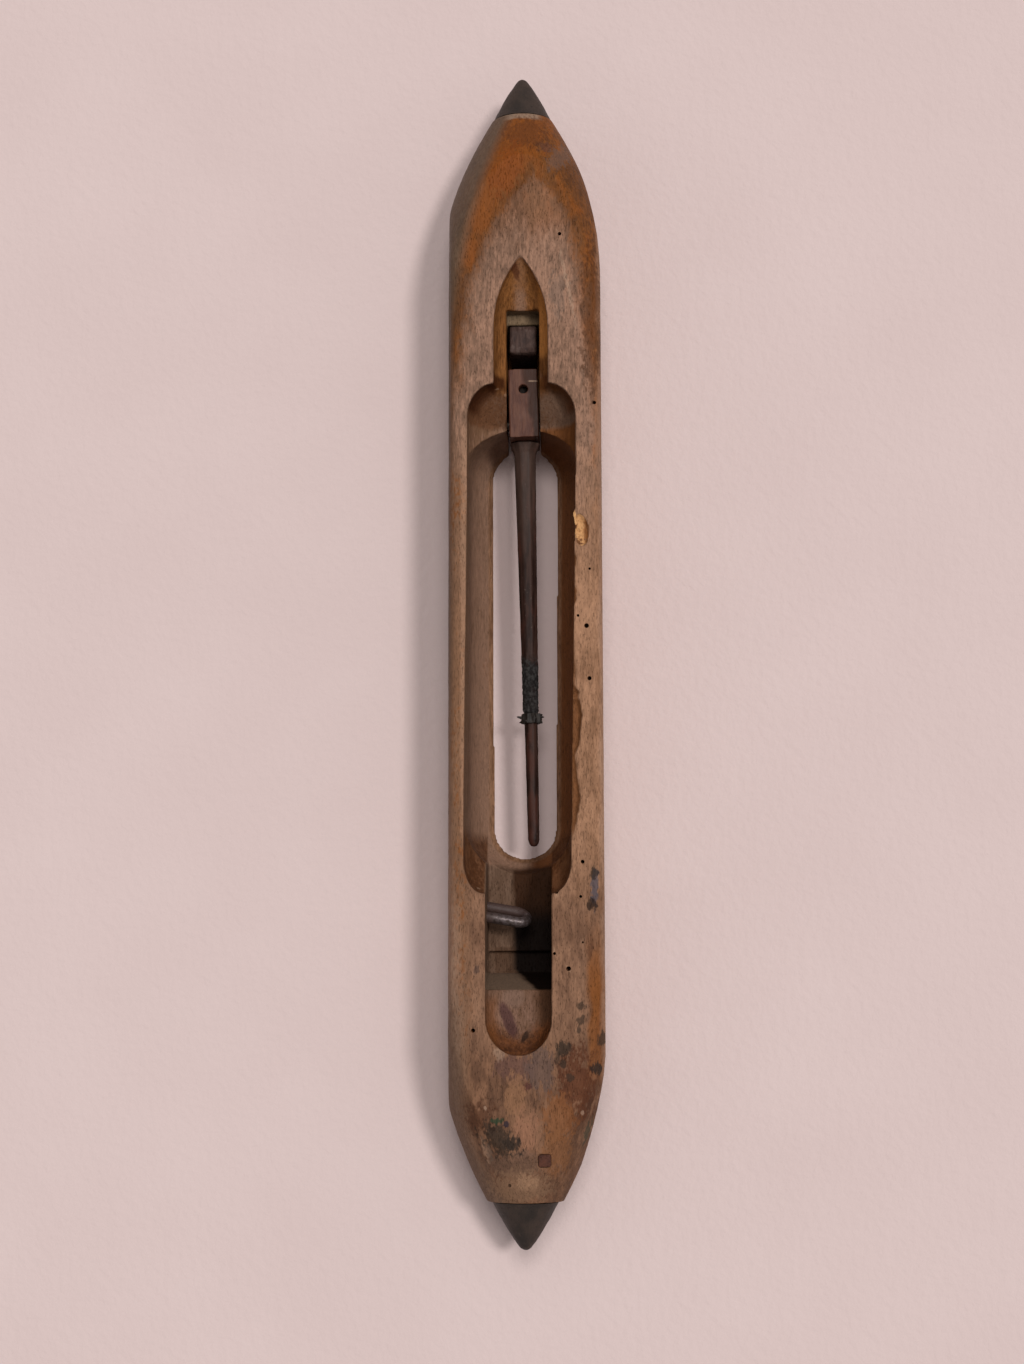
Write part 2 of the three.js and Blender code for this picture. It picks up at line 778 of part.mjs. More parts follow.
const shuttle = new THREE.Group();
const tongue = new THREE.Group();
tongue.position.set(pivotX, tongueY, pivotHeight);
tongue.rotation.z = THREE.MathUtils.degToRad(tongueSkew);
tongue.add(
  piece("spindle_heel", heelGeometry(), brownIron),
  piece("spindle_rod", spindleGeometry(), brownIron),
  piece("heel_rivet", rivetGeometry(), darkSteel),
  piece("grip_ring", gripRingGeometry(), brownIron),
);

const tongueTipPiece = piece("tongue_end_tip", tipGeometry(tongueTip), darkSteel);
tongueTipPiece.position.set(woodStart - seatGap, 0, nosePointHeight);
tongueTipPiece.rotation.z = Math.PI;

shuttle.add(
  piece("shuttle_body", blockGeometry(), wornWood),
  tongueTipPiece,
  piece("eye_end_tip", tipGeometry(eyeTip), darkSteel, [woodEnd + seatGap, 0, nosePointHeight]),
  tongue,
  piece("pivot_pin", pinGeometry(), darkSteel, [pivotX, 0, pivotHeight]),
  piece("heel_spring", springGeometry(), springSteel),
  piece("spring_block", springBlockGeometry(), stainedWood),
  piece("spring_screw", springScrewGeometry(), darkSteel, [blockMiddle, mortiseShift, screwSink]),
  piece("thread_guide", guideGeometry(), brightWire),
  piece("thread_eye", eyeGeometry(), glaze, [eyeX, eyeFace, eyeHeight]),
  piece("nose_nail", nailGeometry(), brownIron, [nailX, nailShift, nailTop]),
);

export default shuttle;
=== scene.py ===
import math

import bpy
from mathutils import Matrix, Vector


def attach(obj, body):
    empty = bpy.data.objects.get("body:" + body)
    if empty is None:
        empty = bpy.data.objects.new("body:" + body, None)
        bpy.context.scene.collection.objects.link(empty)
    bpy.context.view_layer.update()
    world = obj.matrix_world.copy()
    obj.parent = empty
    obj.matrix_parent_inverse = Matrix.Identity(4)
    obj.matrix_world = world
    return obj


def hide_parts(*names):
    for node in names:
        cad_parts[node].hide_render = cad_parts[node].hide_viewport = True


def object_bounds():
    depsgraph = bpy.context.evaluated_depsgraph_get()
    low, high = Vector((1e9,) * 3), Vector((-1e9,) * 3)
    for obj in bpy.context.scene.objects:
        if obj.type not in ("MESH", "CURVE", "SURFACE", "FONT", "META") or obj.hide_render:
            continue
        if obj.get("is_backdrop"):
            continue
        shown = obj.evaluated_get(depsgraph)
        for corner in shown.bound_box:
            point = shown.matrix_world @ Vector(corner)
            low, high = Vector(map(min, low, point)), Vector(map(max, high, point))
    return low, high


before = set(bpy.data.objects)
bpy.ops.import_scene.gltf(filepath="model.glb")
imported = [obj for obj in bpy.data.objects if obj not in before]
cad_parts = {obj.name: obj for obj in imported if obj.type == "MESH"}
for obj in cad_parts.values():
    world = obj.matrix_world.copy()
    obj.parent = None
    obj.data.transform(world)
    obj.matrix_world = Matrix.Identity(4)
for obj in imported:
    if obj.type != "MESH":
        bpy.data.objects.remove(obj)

cad_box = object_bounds()

# Table, light and camera
# The shuttle lies on its flat back on a pale table top. Daylight comes from its right, a little from above
# its upper tip, and the camera looks down on the open face from near the thread-exit end.

camera_place = (0.1170, 0.0170, 0.8190)
camera_turn = (7.505, 1.518, 89.865)
camera_lens = 65.48
table_side, table_height = 6.0, -0.0002
table_colour, table_patches = (0.64, 0.515, 0.50, 1), (0.665, 0.54, 0.525, 1)
to_the_window, window_strength = (-0.10, 0.42, 1.0), 1.4
to_the_ceiling, ceiling_strength = (-0.32, 0.03, 1.0), 1.0
daylight_colour, room_colour = (1.0, 0.97, 0.95), (1.0, 0.96, 0.95, 1)
room_strength, seen_room_strength = 0.34, 0.6


class Value:
    """A socket of a material that can be added, multiplied and compared, and that other nodes start from."""

    def __init__(self, socket):
        self.socket = socket

    def node(self, kind, settings=None, inputs=None, out=0):
        """An output of a new node: its settings are made first, then its inputs are filled or linked."""
        tree = self.socket.id_data
        made = tree.nodes.new("ShaderNode" + kind)
        for name, setting in (settings or {}).items():
            setattr(made, name, setting)
        for name, value in (inputs or {}).items():
            if isinstance(value, Value):
                tree.links.new(value.socket, made.inputs[name])
            else:
                made.inputs[name].default_value = value
        return Value(made.outputs[out])

    def maths(self, operation, *values):
        return self.node("Math", {"operation": operation}, dict(enumerate(values)))

    def __add__(self, other):
        return self.maths("ADD", self, other)

    def __radd__(self, other):
        return self.maths("ADD", other, self)

    def __sub__(self, other):
        return self.maths("SUBTRACT", self, other)

    def __rsub__(self, other):
        return self.maths("SUBTRACT", other, self)

    def __mul__(self, other):
        return self.maths("MULTIPLY", self, other)

    def __rmul__(self, other):
        return self.maths("MULTIPLY", other, self)

    def __truediv__(self, other):
        return self.maths("DIVIDE", self, other)

    def __abs__(self):
        return self.maths("ABSOLUTE", self)

    def root(self):
        return self.maths("SQRT", self)

    def most(self, other):
        return self.maths("MAXIMUM", self, other)

    def least(self, other):
        return self.maths("MINIMUM", self, other)

    def between(self, low, high):
        """0 up to low, 1 from high, smooth between them; the other way round where low is the greater."""
        inputs = {"Value": self, "From Min": low, "From Max": high}
        return self.node("MapRange", {"interpolation_type": "SMOOTHSTEP"}, inputs)

    def parts(self):
        """Its x, y and z."""
        return [self.node("SeparateXYZ", {}, {0: self}, out) for out in range(3)]

    def noise(self, size, along=1.0, detail=3.0):
        """Specks of that size in millimetres, drawn out along the shuttle; 0 to 1 about a middle of 0.5."""
        scale = (1 / (size * along), 1 / size, 1 / size)
        drawn = self.node("VectorMath", {"operation": "MULTIPLY"}, {0: self, 1: scale})
        inputs = {"Vector": drawn, "Scale": 1.0, "Detail": detail, "Roughness": 0.55}
        return self.node("TexNoise", {}, inputs)

    def blotch(self, centre, size, ragged=0.0, soft=0.3, slant=0.0):
        """1 in an oval on the open face, 0 outside its ragged edge; slant leans its long side across."""
        x, y, z = self.parts()
        x = (x - centre[0]) / size[0]
        y = (y - centre[1]) / size[1] - x * (slant * size[0] / size[1])
        far = (x * x + y * y).root()
        return (far + ragged).between(1 + soft, 1 - soft)

    def over(self, under, colour, blend="MIX"):
        """The colour laid over the one under it, as far as this mask goes."""
        return self.node("Mix", {"data_type": "RGBA", "blend_type": blend}, {0: self, 6: under, 7: colour}, 2)


def tone(red, green, blue):
    """A screen colour of 0 to 255 as the light that a surface of that colour gives back."""
    shares = [(value / 255 + 0.055) / 1.055 for value in (red, green, blue)]
    return (*(share**2.4 for share in shares), 1.0)


def paint(name):
    """A new material: its surface, and the place on the piece in millimetres."""
    material = bpy.data.materials.new(name)
    material.use_nodes = True
    surface = material.node_tree.nodes["Principled BSDF"]
    place = Value(material.node_tree.nodes.new("ShaderNodeTexCoord").outputs["Object"])
    return material, surface, place.node("VectorMath", {"operation": "SCALE"}, {0: place, "Scale": 1000.0})


def set_surface(surface, values):
    """Fills or links those inputs of a material's surface."""
    for name, value in values.items():
        if isinstance(value, Value):
            surface.id_data.links.new(value.socket, surface.inputs[name])
        else:
            surface.inputs[name].default_value = value


def relief(height, millimetres):
    """The bumps of a surface whose height runs from 0 to 1 over that many millimetres."""
    return height.node("Bump", {}, {"Height": height, "Distance": millimetres / 1000, "Strength": 1.0})


bpy.ops.object.select_all(action="DESELECT")
bpy.ops.mesh.primitive_plane_add(size=table_side, location=(0, 0, table_height))
table = bpy.context.object
table.name = "table_top"
table_paint, table_surface, where = paint("pale_table")
mottle = where.noise(60, 1, 3)
set_surface(
    table_surface,
    {
        "Base Color": mottle.between(0.2, 0.8).over(table_colour, table_patches),
        "Roughness": 0.9,
        "Normal": relief(where.noise(3.0, 1, 4), 0.4),
    },
)
table.data.materials.append(table_paint)
table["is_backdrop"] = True

bpy.ops.object.camera_add(location=camera_place, rotation=[math.radians(turn) for turn in camera_turn])
camera = bpy.context.object
camera.data.lens = camera_lens
bpy.context.scene.camera = camera

for way, strength, softness in ((to_the_window, window_strength, 10), (to_the_ceiling, ceiling_strength, 20)):
    bpy.ops.object.light_add(type="SUN", rotation=Vector(way).to_track_quat("Z", "Y").to_euler())
    lamp = bpy.context.object
    lamp.data.energy = strength
    lamp.data.angle = math.radians(softness)
    lamp.data.color = daylight_colour

room = bpy.data.worlds.new("room")
room.use_nodes = True
sky = room.node_tree.nodes["Background"]
sky.inputs["Color"].default_value = room_colour
rays = room.node_tree.nodes.new("ShaderNodeLightPath").outputs
seen = Value(rays["Is Camera Ray"]) + Value(rays["Is Glossy Ray"]) + Value(rays["Is Transmission Ray"])
strength = room_strength + (seen_room_strength - room_strength) * seen.least(1)
room.node_tree.links.new(strength.socket, sky.inputs["Strength"])
bpy.context.scene.world = room
bpy.context.scene.view_settings.view_transform = "Standard"

# Wooden block
# One piece of close-grained hardwood with turned noses, cut out for the spindle, the cop and the thread. Its
# open face is worn bare and pinkish grey and has worm holes, with varnish left on the noses and long edges.

mm = 0.001
block_voxel, damage_voxel = 0.38 * mm, 0.25 * mm
block_triangles = 170000
open_face = 38
worm_holes = [
    (-133.1, 12.5, 0.62), (-76.8, 23.4, 0.62), (-22.5, 21.6, 0.42), (-7.4, 17.8, 0.45), (-4.1, 20.5, 0.78),
    (12.8, 21.3, 0.70), (71.0, 18.8, 0.62), (80.3, 10.5, 0.75), (81.9, 18.1, 0.5), (96.2, 18.7, 0.35),
    (99.7, 9.8, 0.5), (104.4, 14.2, 0.78), (123.5, -15.7, 0.68), (171.7, -4.9, 0.55), (144.5, 16.4, 0.4),
]
worm_depth, worm_lean = 5.0, (0.12, 0.1, 0)
worm_top, nose_worm_top, nose_start = 39.0, 37.5, 140
rim_line = [
    (-28.5, 16.4, 0.4), (-26.1, 17.7, 0.8), (-23.5, 17.4, 0.8), (-20.3, 16.9, 0.5), (-17.0, 16.9, 0.5),
    (-15.4, 17.7, 0.8), (-12.8, 17.5, 0.9), (-10.6, 16.9, 0.5), (0.7, 16.9, 0.5), (15.1, 16.9, 0.6),
    (17.4, 18.1, 1.2), (19.3, 17.8, 1.0), (20.6, 18.4, 1.6), (24.7, 18.7, 2.0), (29.5, 18.5, 1.9),
    (34.3, 18.0, 1.5), (37.5, 16.7, 0.9), (40.6, 17.0, 1.0), (43.8, 17.3, 1.0), (47.0, 18.0, 1.2),
    (50.8, 18.2, 1.4), (54.9, 17.6, 1.3), (59.6, 16.8, 1.0), (64.3, 15.6, 0.4),
]
rim_inside, rim_middle, rim_width, rim_height, rim_spread = 3.9, 38.35, 6.0, 1.7, 3.06
torn_rough, nick_rough, rim_rough = 0.6, 0.15, 0.4
torn_chips = [
    (-36.6, 18.2, 38.3, 3.6, 1.6, 2.2), (-34.4, 19.9, 38.4, 4.2, 1.3, 2.6),
    (-31.8, 18.6, 38.2, 2.0, 1.9, 1.5), (-38.4, 18.4, 38.3, 1.6, 1.6, 1.3),
]
nicks = [
    (110.6, -1.4, 27.7, 0.8, 1.2, 0.7), (110.6, 1.8, 27.6, 0.6, 0.6, 0.5), (110.6, -4.6, 27.7, 0.5, 0.7, 0.5),
    (147.4, -12.0, 37.6, 0.7, 0.6, 0.4), (137.5, -13.2, 38.3, 1.0, 0.7, 0.6),
    (159.6, -12.4, 35.3, 2.4, 0.5, 0.5), (149.9, 18.0, 36.0, 0.5, 0.45, 0.5),
    (-173.6, 10.4, 28.5, 1.3, 0.8, 1.6), (125.6, 0.9, 29.0, 1.4, 0.5, 0.5), (124.6, 2.6, 29.4, 1.9, 0.3, 0.5),
    (-93.0, -19.9, 38.4, 5.0, 0.5, 0.6),
]
splinter, splinter_length, splinter_lean, splinter_turn = (-39.0, 16.7, 38.0), 5.4, -94, 14
guide_seat, guide_seat_size = (0.0838, -0.0152, 0.0182), (13, 6.0, 13.5)
soft_corner_places, soft_corner_reach, soft_corner_fade, soft_corner_side = (-139, 142), 14, 6, -19


def only(piece):
    """The piece alone is selected and active."""
    bpy.ops.object.select_all(action="DESELECT")
    piece.select_set(True)
    bpy.context.view_layer.objects.active = piece


def merged_copy(node, name):
    """A copy of a node's solid with its loose triangles joined."""
    piece = bpy.data.objects.new(name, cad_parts[node].data.copy())
    bpy.context.scene.collection.objects.link(piece)
    piece.data.materials.clear()
    only(piece)
    bpy.ops.object.mode_set(mode="EDIT")
    bpy.ops.mesh.select_all(action="SELECT")
    bpy.ops.mesh.remove_doubles(threshold=1e-6)
    bpy.ops.object.mode_set(mode="OBJECT")
    return piece


def modify(piece, kind, **settings):
    """Adds a modifier with those settings and applies it."""
    only(piece)
    modifier = piece.modifiers.new(kind.lower(), kind)
    for name, setting in settings.items():
        setattr(modifier, name, setting)
    bpy.ops.object.modifier_apply(modifier=modifier.name)


def dented(piece, size, depth, vertex_group=""):
    """Makes a surface uneven, with hollows of that size and depth in millimetres."""
    lumps = bpy.data.textures.new(piece.name + "_lumps", "CLOUDS")
    lumps.noise_scale = size * mm
    lumps.noise_depth = 2
    modify(piece, "DISPLACE", texture=lumps, strength=depth * mm, mid_level=0.5, texture_coords="LOCAL",
           vertex_group=vertex_group)


def joined(pieces):
    """The pieces as one object, at the origin."""
    bpy.ops.object.select_all(action="DESELECT")
    for piece in pieces:
        piece.select_set(True)
    bpy.context.view_layer.objects.active = pieces[0]
    bpy.ops.object.join()
    bpy.ops.object.transform_apply(location=True, rotation=True, scale=True)
    return pieces[0]


def cut_away(piece, cutter):
    """Cuts the cutter's shape out of the piece, and the cutter is gone."""
    modify(piece, "BOOLEAN", object=cutter, operation="DIFFERENCE", solver="MANIFOLD")
    bpy.data.objects.remove(cutter)


def finished(piece, material, body, slot, *nodes):
    """Gives the piece its one material and its body, and hides the nodes that it stands for; slot is not used.
    """
    piece.data.materials.clear()
    piece.data.materials.append(material)
    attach(piece, body)
    if nodes:
        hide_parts(*nodes)


block = merged_copy("shuttle_body", "wooden_block")
cutters = []
for number, (x, y, z, along, across, deep) in enumerate(torn_chips + nicks):
    bpy.ops.mesh.primitive_ico_sphere_add(subdivisions=3, radius=mm, location=(x * mm, y * mm, z * mm))
    bpy.ops.object.mode_set(mode="EDIT")
    bpy.ops.transform.resize(value=(along, across, deep), center_override=(x * mm, y * mm, z * mm))
    rough = torn_rough if number < len(torn_chips) else nick_rough
    bpy.ops.transform.vertex_random(offset=rough * mm, seed=number)
    bpy.ops.object.mode_set(mode="OBJECT")
    cutters.append(bpy.context.object)

# The broken rim is cut by an upright plate, wider at its top, that is drawn out along its line.
x, y, deep = rim_line[0]
bpy.ops.mesh.primitive_plane_add(
    size=mm, location=(x * mm, (y - rim_inside) * mm, rim_middle * mm), rotation=(0, math.pi / 2, 0)
)
rim = bpy.context.object
bpy.ops.object.mode_set(mode="EDIT")
bpy.ops.transform.resize(value=(1, rim_width, rim_height), center_override=rim.location)
bpy.ops.mesh.select_all(action="DESELECT")
bpy.ops.object.mode_set(mode="OBJECT")
for corner in rim.data.vertices:
    corner.select = corner.co.y > 0 and (rim.matrix_world @ corner.co).z > open_face * mm
bpy.ops.object.mode_set(mode="EDIT")
bpy.ops.transform.translate(value=(0, rim_spread * mm, 0))
bpy.ops.mesh.select_all(action="SELECT")
for next_x, next_y, next_deep in rim_line[1:]:
    step = ((next_x - x) * mm, (next_y - y) * mm, 0)
    bpy.ops.mesh.extrude_region_move(TRANSFORM_OT_translate={"value": step})
    centre = (next_x * mm, next_y * mm, open_face * mm)
    bpy.ops.transform.resize(value=(1, 1, next_deep / deep), center_override=centre)
    x, y, deep = next_x, next_y, next_deep
bpy.ops.mesh.select_all(action="SELECT")
bpy.ops.mesh.normals_make_consistent(inside=False)
bpy.ops.mesh.subdivide(number_cuts=2)
bpy.ops.transform.vertex_random(offset=rim_rough * mm, seed=3)
bpy.ops.object.mode_set(mode="OBJECT")
cutters.append(rim)
damage = joined(cutters)
modify(damage, "REMESH", mode="VOXEL", voxel_size=damage_voxel)
cut_away(block, damage)

# A splinter stands up at the torn chip, and a plug closes the wood round the legs of the thread guide.
bpy.ops.mesh.primitive_cone_add(
    vertices=7, radius1=0.6 * mm, radius2=0.1 * mm, depth=splinter_length * mm,
    location=[share * mm for share in splinter],
    rotation=(0, math.radians(splinter_lean), math.radians(splinter_turn)),
)
tear = bpy.context.object
bpy.ops.mesh.primitive_cube_add(size=mm, location=guide_seat)
seat = bpy.context.object
bpy.ops.object.mode_set(mode="EDIT")
bpy.ops.transform.resize(value=guide_seat_size, center_override=guide_seat)
bpy.ops.object.mode_set(mode="OBJECT")
block = joined([block, tear, seat])
modify(block, "REMESH", mode="VOXEL", voxel_size=block_voxel, use_smooth_shade=True)
modify(block, "SMOOTH", iterations=1, factor=0.5)

# The left outline turns gently where the noses begin.
soft_corners = block.vertex_groups.new(name="soft_corners")
for vertex in block.data.vertices:
    away = min(abs(vertex.co.x / mm - place) for place in soft_corner_places)
    near = min(max((soft_corner_reach - away) / soft_corner_fade, 0), 1)
    share = near * min(max(soft_corner_side - vertex.co.y / mm, 0), 1)
    if share > 0:
        soft_corners.add([vertex.index], share, "REPLACE")
modify(block, "SMOOTH", iterations=120, factor=0.8, vertex_group="soft_corners")
dented(block, 9, 0.2)
modify(block, "DECIMATE", ratio=block_triangles / max(len(block.data.polygons) * 2, block_triangles))

holes = []
for x, y, radius in worm_holes:
    top = worm_top if abs(x) < nose_start else nose_worm_top
    bpy.ops.mesh.primitive_cylinder_add(
        vertices=12, radius=radius * mm, depth=worm_depth * mm, rotation=worm_lean,
        location=(x * mm, y * mm, (top - worm_depth / 2) * mm),
    )
    holes.append(bpy.context.object)
cut_away(block, joined(holes))
only(block)
bpy.ops.object.shade_smooth_by_angle(angle=math.radians(50))

bare_pink, bare_grey = tone(150, 115, 95), tone(120, 92, 75)
tan, tan_dark = tone(162, 122, 95), tone(128, 93, 69)
low_tan, low_dark = tone(134, 100, 78), tone(106, 76, 58)
nose_tan, nose_brown = tone(124, 90, 68), tone(92, 65, 49)
left_brown, orange_brown = tone(122, 89, 66), tone(120, 70, 30)
varnish, varnish_dark, varnish_orange = tone(120, 70, 24), tone(84, 47, 14), tone(120, 63, 8)
side_grey, side_brown, low_side = tone(104, 86, 71), tone(154, 124, 104), tone(120, 96, 80)
recess_orange, recess_dark = tone(134, 88, 48), tone(98, 60, 30)
wall_mauve, wall_brown = tone(136, 105, 86), tone(112, 82, 61)
grime, fresh_wood, fresh_brown = tone(44, 30, 22), tone(208, 158, 108), tone(146, 98, 60)
purple, mauve, pale = tone(96, 68, 60), tone(110, 86, 74), tone(176, 146, 124)
grey_stain, dark_stain, deep_brown = tone(56, 44, 35), tone(46, 37, 31), tone(76, 48, 34)

wood, wood_surface, where = paint("weathered_wood")
x, y, z = where.parts()
clouds = where.noise(13, 2.5, 3) - 0.5
ragged = where.noise(4.5, 2.0, 4) - 0.5
specks = where.noise(1.1, 1.8, 4) - 0.5
streaks = where.noise(0.8, 5, 4) - 0.5
fibres = where.noise(0.32, 6, 3) - 0.5
pores = where.noise(0.3, 4.5, 2).between(0.60, 0.68)
flecks = where.noise(0.42, 3.5, 2).between(0.62, 0.70)
pointiness = where.node("NewGeometry", {}, {}, "Pointiness")

# The worn face is pinkish grey by the recess, then tan, duller past the slot, and brown on the lower nose and
# along the left edge.
bare = (streaks * 1.5 + clouds * 0.8 + specks * 0.5).between(-0.3, 0.3).over(bare_grey, bare_pink)
tanned = (clouds * 1.2 + ragged + streaks * 0.8).between(-0.4, 0.32).over(tan_dark, tan)
worn = (clouds * 1.2 + ragged + streaks * 0.8).between(-0.32, 0.32).over(low_dark, low_tan)
nose = (ragged * 1.4 + clouds + streaks * 0.5).between(-0.3, 0.3).over(nose_brown, nose_tan)
colour = (x + ragged * 60 + y).between(-50, 0).over(bare, tanned)
colour = (x + ragged * 40 - y * 0.6).between(45, 85).over(colour, worn)
colour = (x + ragged * 25).between(120, 138).over(colour, nose)
leftward = (ragged * 4 - y).between(15.5, 19.5) * (x + clouds * 30).between(-75, -45)
colour = (leftward * 0.75).over(colour, left_brown)
colour = (leftward * (clouds + specks).between(0, 0.2) * 0.7).over(colour, orange_brown)

# Varnish covers the upper nose round a bare patch that widens towards the slot, and after that only the long
# edges. A strip of it is left at the lower right.
bare_length = (x + 151 + ragged * 8).most(0)
bare_half = 30 * bare_length / (bare_length + 26) - (-151 - x).most(0)
bare_middle = 4.3 - 0.075 * bare_length.least(42)
varnished = (abs(y - bare_middle) + ragged * 9 + specks * 4 - bare_half).between(-3.4, 3.6)
varnished = varnished.most((x + ragged * 24 + specks * 8).between(-126, -142) * 0.62)
long_edges = (abs(y + 0.3) + ragged * 2.4 - 21.6 - 0.035 * (x + 90).most(0)).between(-1.0, 1.5)
varnished = varnished.least((x + 90).between(16, -6).most(long_edges))
coat = (clouds * 1.3 + specks * 0.9 + ragged * 0.5).between(-0.35, 0.35).over(varnish_dark, varnish)
orange = (clouds + ragged * 1.4 + (x + y * 1.5 + 172).between(34, 0) * 0.25).between(-0.05, 0.28)
coat = (orange * 0.85).over(coat, varnish_orange)
colour = (varnished * 0.93).over(colour, coat)
right_strip = (y + ragged * 4).between(19.0, 21.2) * (x + ragged * 20).between(86, 108) * x.between(144, 132)
colour = (right_strip * (0.8 + clouds)).over(colour, orange_brown)

# The side walls are bare and dirty from the line where the face turns over, their colour on the left partly
# the wood and partly painted shade and sheen. The wood at the upper tip is pale.
turn = (1 - (x + 177) / 82).most(0)
below_slot = 4.1 * x.between(55, 130)
lower_nose = 0.012 * (x - 143).most(0) * (x - 143)
side_place = 22.9 - 4.0 * turn - 15.6 * turn * turn - below_slot - lower_nose
side = (ragged * 2.4 + specks - y - side_place).between(-2.4, 3.0)
# On the left side, turned away from the light, this grey and brown are partly the wood's own and partly
# painted shade and sheen.
side_colour = (x + clouds * 40).between(0, 90).over(side_grey, x.between(100, 130).over(side_brown, low_side))
side_colour = (specks.between(-0.2, 0.2) * 0.4).over(side_colour, grime, "SOFT_LIGHT")
colour = (side * 0.9).over(colour, side_colour)
colour = ((y + ragged * 3 + clouds * 2).between(23.4, 25.4) * 0.6).over(colour, side_brown)
tip_edge = (x + 175.6 + ragged * 2).between(1.2, 0.2) * abs(y - 0.5).between(7, 4)
colour = (tip_edge * 0.7).over(colour, tone(140, 122, 106))

# Stains of the open face, each with its middle, half its length and width, its slant and its strength.
for centre, size, slant, strength, stain in [
    ((-163.5, 8.0), (2.2, 2.4), 0, 0.75, tone(88, 56, 42)),
    ((-161.0, 12.5), (5.5, 3.2), -0.35, 0.5, mauve),
    ((-168.5, 1.5), (6.0, 7.0), 0, 0.55, tone(88, 49, 25)),
    ((-106.0, 22.6), (24.0, 3.2), 0, 0.6, tone(80, 46, 22)),
    ((-155.0, -4.5), (9.0, 4.5), -0.25, 0.6, tone(128, 66, 22)),
    ((-143.0, 5.0), (6.0, 4.5), 0, 0.35, tone(136, 98, 72)),
    ((-114.0, 15.2), (11.0, 0.7), 0.2, 0.4, pale),
    ((-112.4, 11.8), (7.0, 2.8), 0, 0.5, tone(118, 98, 86)),
    ((135.0, -2.4), (4.4, 6.0), 0, 0.7, purple),
    ((135.6, 5.2), (7.0, 4.2), 0.1, 0.7, tone(92, 74, 67)),
    ((130.4, -7.6), (2.2, 1.8), 0, 0.35, pale),
    ((141.1, 0.9), (1.4, 1.3), 0, 0.8, tone(74, 42, 38)),
    ((144.6, -2.6), (7.0, 3.2), 0, 0.65, tone(142, 103, 75)),
    ((155.0, 0.4), (6.5, 4.4), 0, 0.7, tone(142, 101, 78)),
    ((140.0, 16.2), (10.0, 5.8), 0, 0.85, tone(86, 49, 31)),
    ((150.5, 10.8), (6.5, 4.6), 0, 0.7, tone(128, 82, 50)),
    ((161.0, 9.7), (7.0, 4.6), 0, 0.65, tone(126, 84, 54)),
    ((150.6, -13.7), (5.2, 4.2), 0, 0.75, tone(82, 52, 36)),
    ((165.2, -3.2), (4.6, 8.5), 0, 0.6, tone(104, 80, 66)),
    ((172.0, -1.5), (5.0, 8.6), 0, 0.75, tone(128, 98, 76)),
    ((170.4, 0.6), (2.2, 3.6), 0, 0.4, tone(164, 128, 100)),
    ((159.5, -12.5), (3.6, 0.8), 0.25, 0.75, tone(150, 118, 96)),
    ((147.5, -12.1), (0.7, 0.5), 0, 0.5, pale),
    ((149.0, 18.1), (0.6, 0.4), 0, 0.5, pale),
    ((157.2, -7.8), (5.2, 5.4), 0.4, 0.9, grey_stain),
    ((158.6, -4.0), (2.6, 2.8), 0.2, 0.8, dark_stain),
    ((160.4, -11.2), (2.6, 0.8), 0.35, 0.5, tone(124, 100, 84)),
    ((151.5, -8.2), (0.9, 2.2), 0, 0.85, tone(42, 58, 40)),
    ((152.4, -5.6), (1.1, 1.3), 0, 0.85, tone(40, 34, 44)),
    ((153.9, -9.8), (1.0, 0.9), 0, 0.85, grime),
    ((129.1, 12.4), (2.1, 2.0), 0, 0.9, grey_stain),
    ((131.6, 10.4), (2.0, 0.8), 0, 0.65, grey_stain),
    ((134.1, 12.3), (1.3, 1.0), 0, 0.8, grey_stain),
    ((138.1, 14.4), (1.2, 1.7), 0, 0.7, grey_stain),
    ((135.4, 22.6), (2.1, 1.7), 0, 0.9, dark_stain),
    ((146.4, 20.5), (1.9, 0.8), -0.3, 0.85, deep_brown),
    ((155.5, 19.4), (3.4, 1.0), -0.35, 0.8, tone(70, 64, 50)),
    ((116.0, 18.1), (1.5, 1.3), 0, 0.75, grey_stain),
    ((120.6, 17.5), (1.9, 1.1), -0.2, 0.75, grey_stain),
    ((123.6, 16.9), (1.4, 1.0), 0, 0.75, grey_stain),
    ((126.2, 24.3), (2.3, 1.2), 0, 0.8, grey_stain),
    ((79.4, 22.4), (5.6, 1.1), -0.08, 0.8, tone(76, 72, 80)),
    ((84.6, 21.4), (1.7, 1.5), 0, 0.85, grime),
    ((74.6, 22.2), (1.8, 1.2), 0, 0.8, dark_stain),
    ((104.7, -14.7), (1.5, 1.1), 0, 0.75, tone(84, 64, 56)),
    ((99.0, 20.6), (3.0, 1.0), 0, 0.5, deep_brown),
]:
    spot = where.blotch(centre, size, ragged * 1.4 + specks * 2.6, 0.3, slant) * z.between(18, 21)
    colour = (spot * strength).over(colour, stain)

# The left rim of the slot, rubbed pale.
rim_wear = (y + specks * 1.2).between(-20.2, -19.4) * x.between(-72, -66) * x.between(66, 60)
rim_wear = rim_wear * z.between(36.6, 37.2) * (1 - y.between(-18, -17))
colour = (rim_wear * 0.5).over(colour, tone(160, 124, 100))

# What is cut out of the block begins just under the open face. First comes the recess above the mortise.
inside = z.between(37.5, 37.0) * abs(y + 0.5).between(21.0, 20.2)
inside = inside * x.between(-127, -126) * x.between(132, 131.5)
hollow = (clouds + streaks * 1.3 + ragged * 0.7).between(-0.3, 0.3).over(recess_dark, recess_orange)
soft_middle = (abs(y + 0.6) + specks * 3).between(3.2, 0.4)
hollow = (soft_middle * (0.35 + 0.55 * x.between(-118, -114))).over(hollow, tone(138, 105, 84))
# Painted light: the ledge right of the mortise is lightened where the recess wall shades it.
hollow = (y.between(4.5, 6.0) * x.between(-92, -95)).over(hollow, tone(172, 114, 60))
recess_spot = where.blotch((-122.6, -2.6), (3.4, 1.4), specks, 0.3, 0.4)
hollow = (recess_spot * 0.8).over(hollow, tone(84, 46, 28))
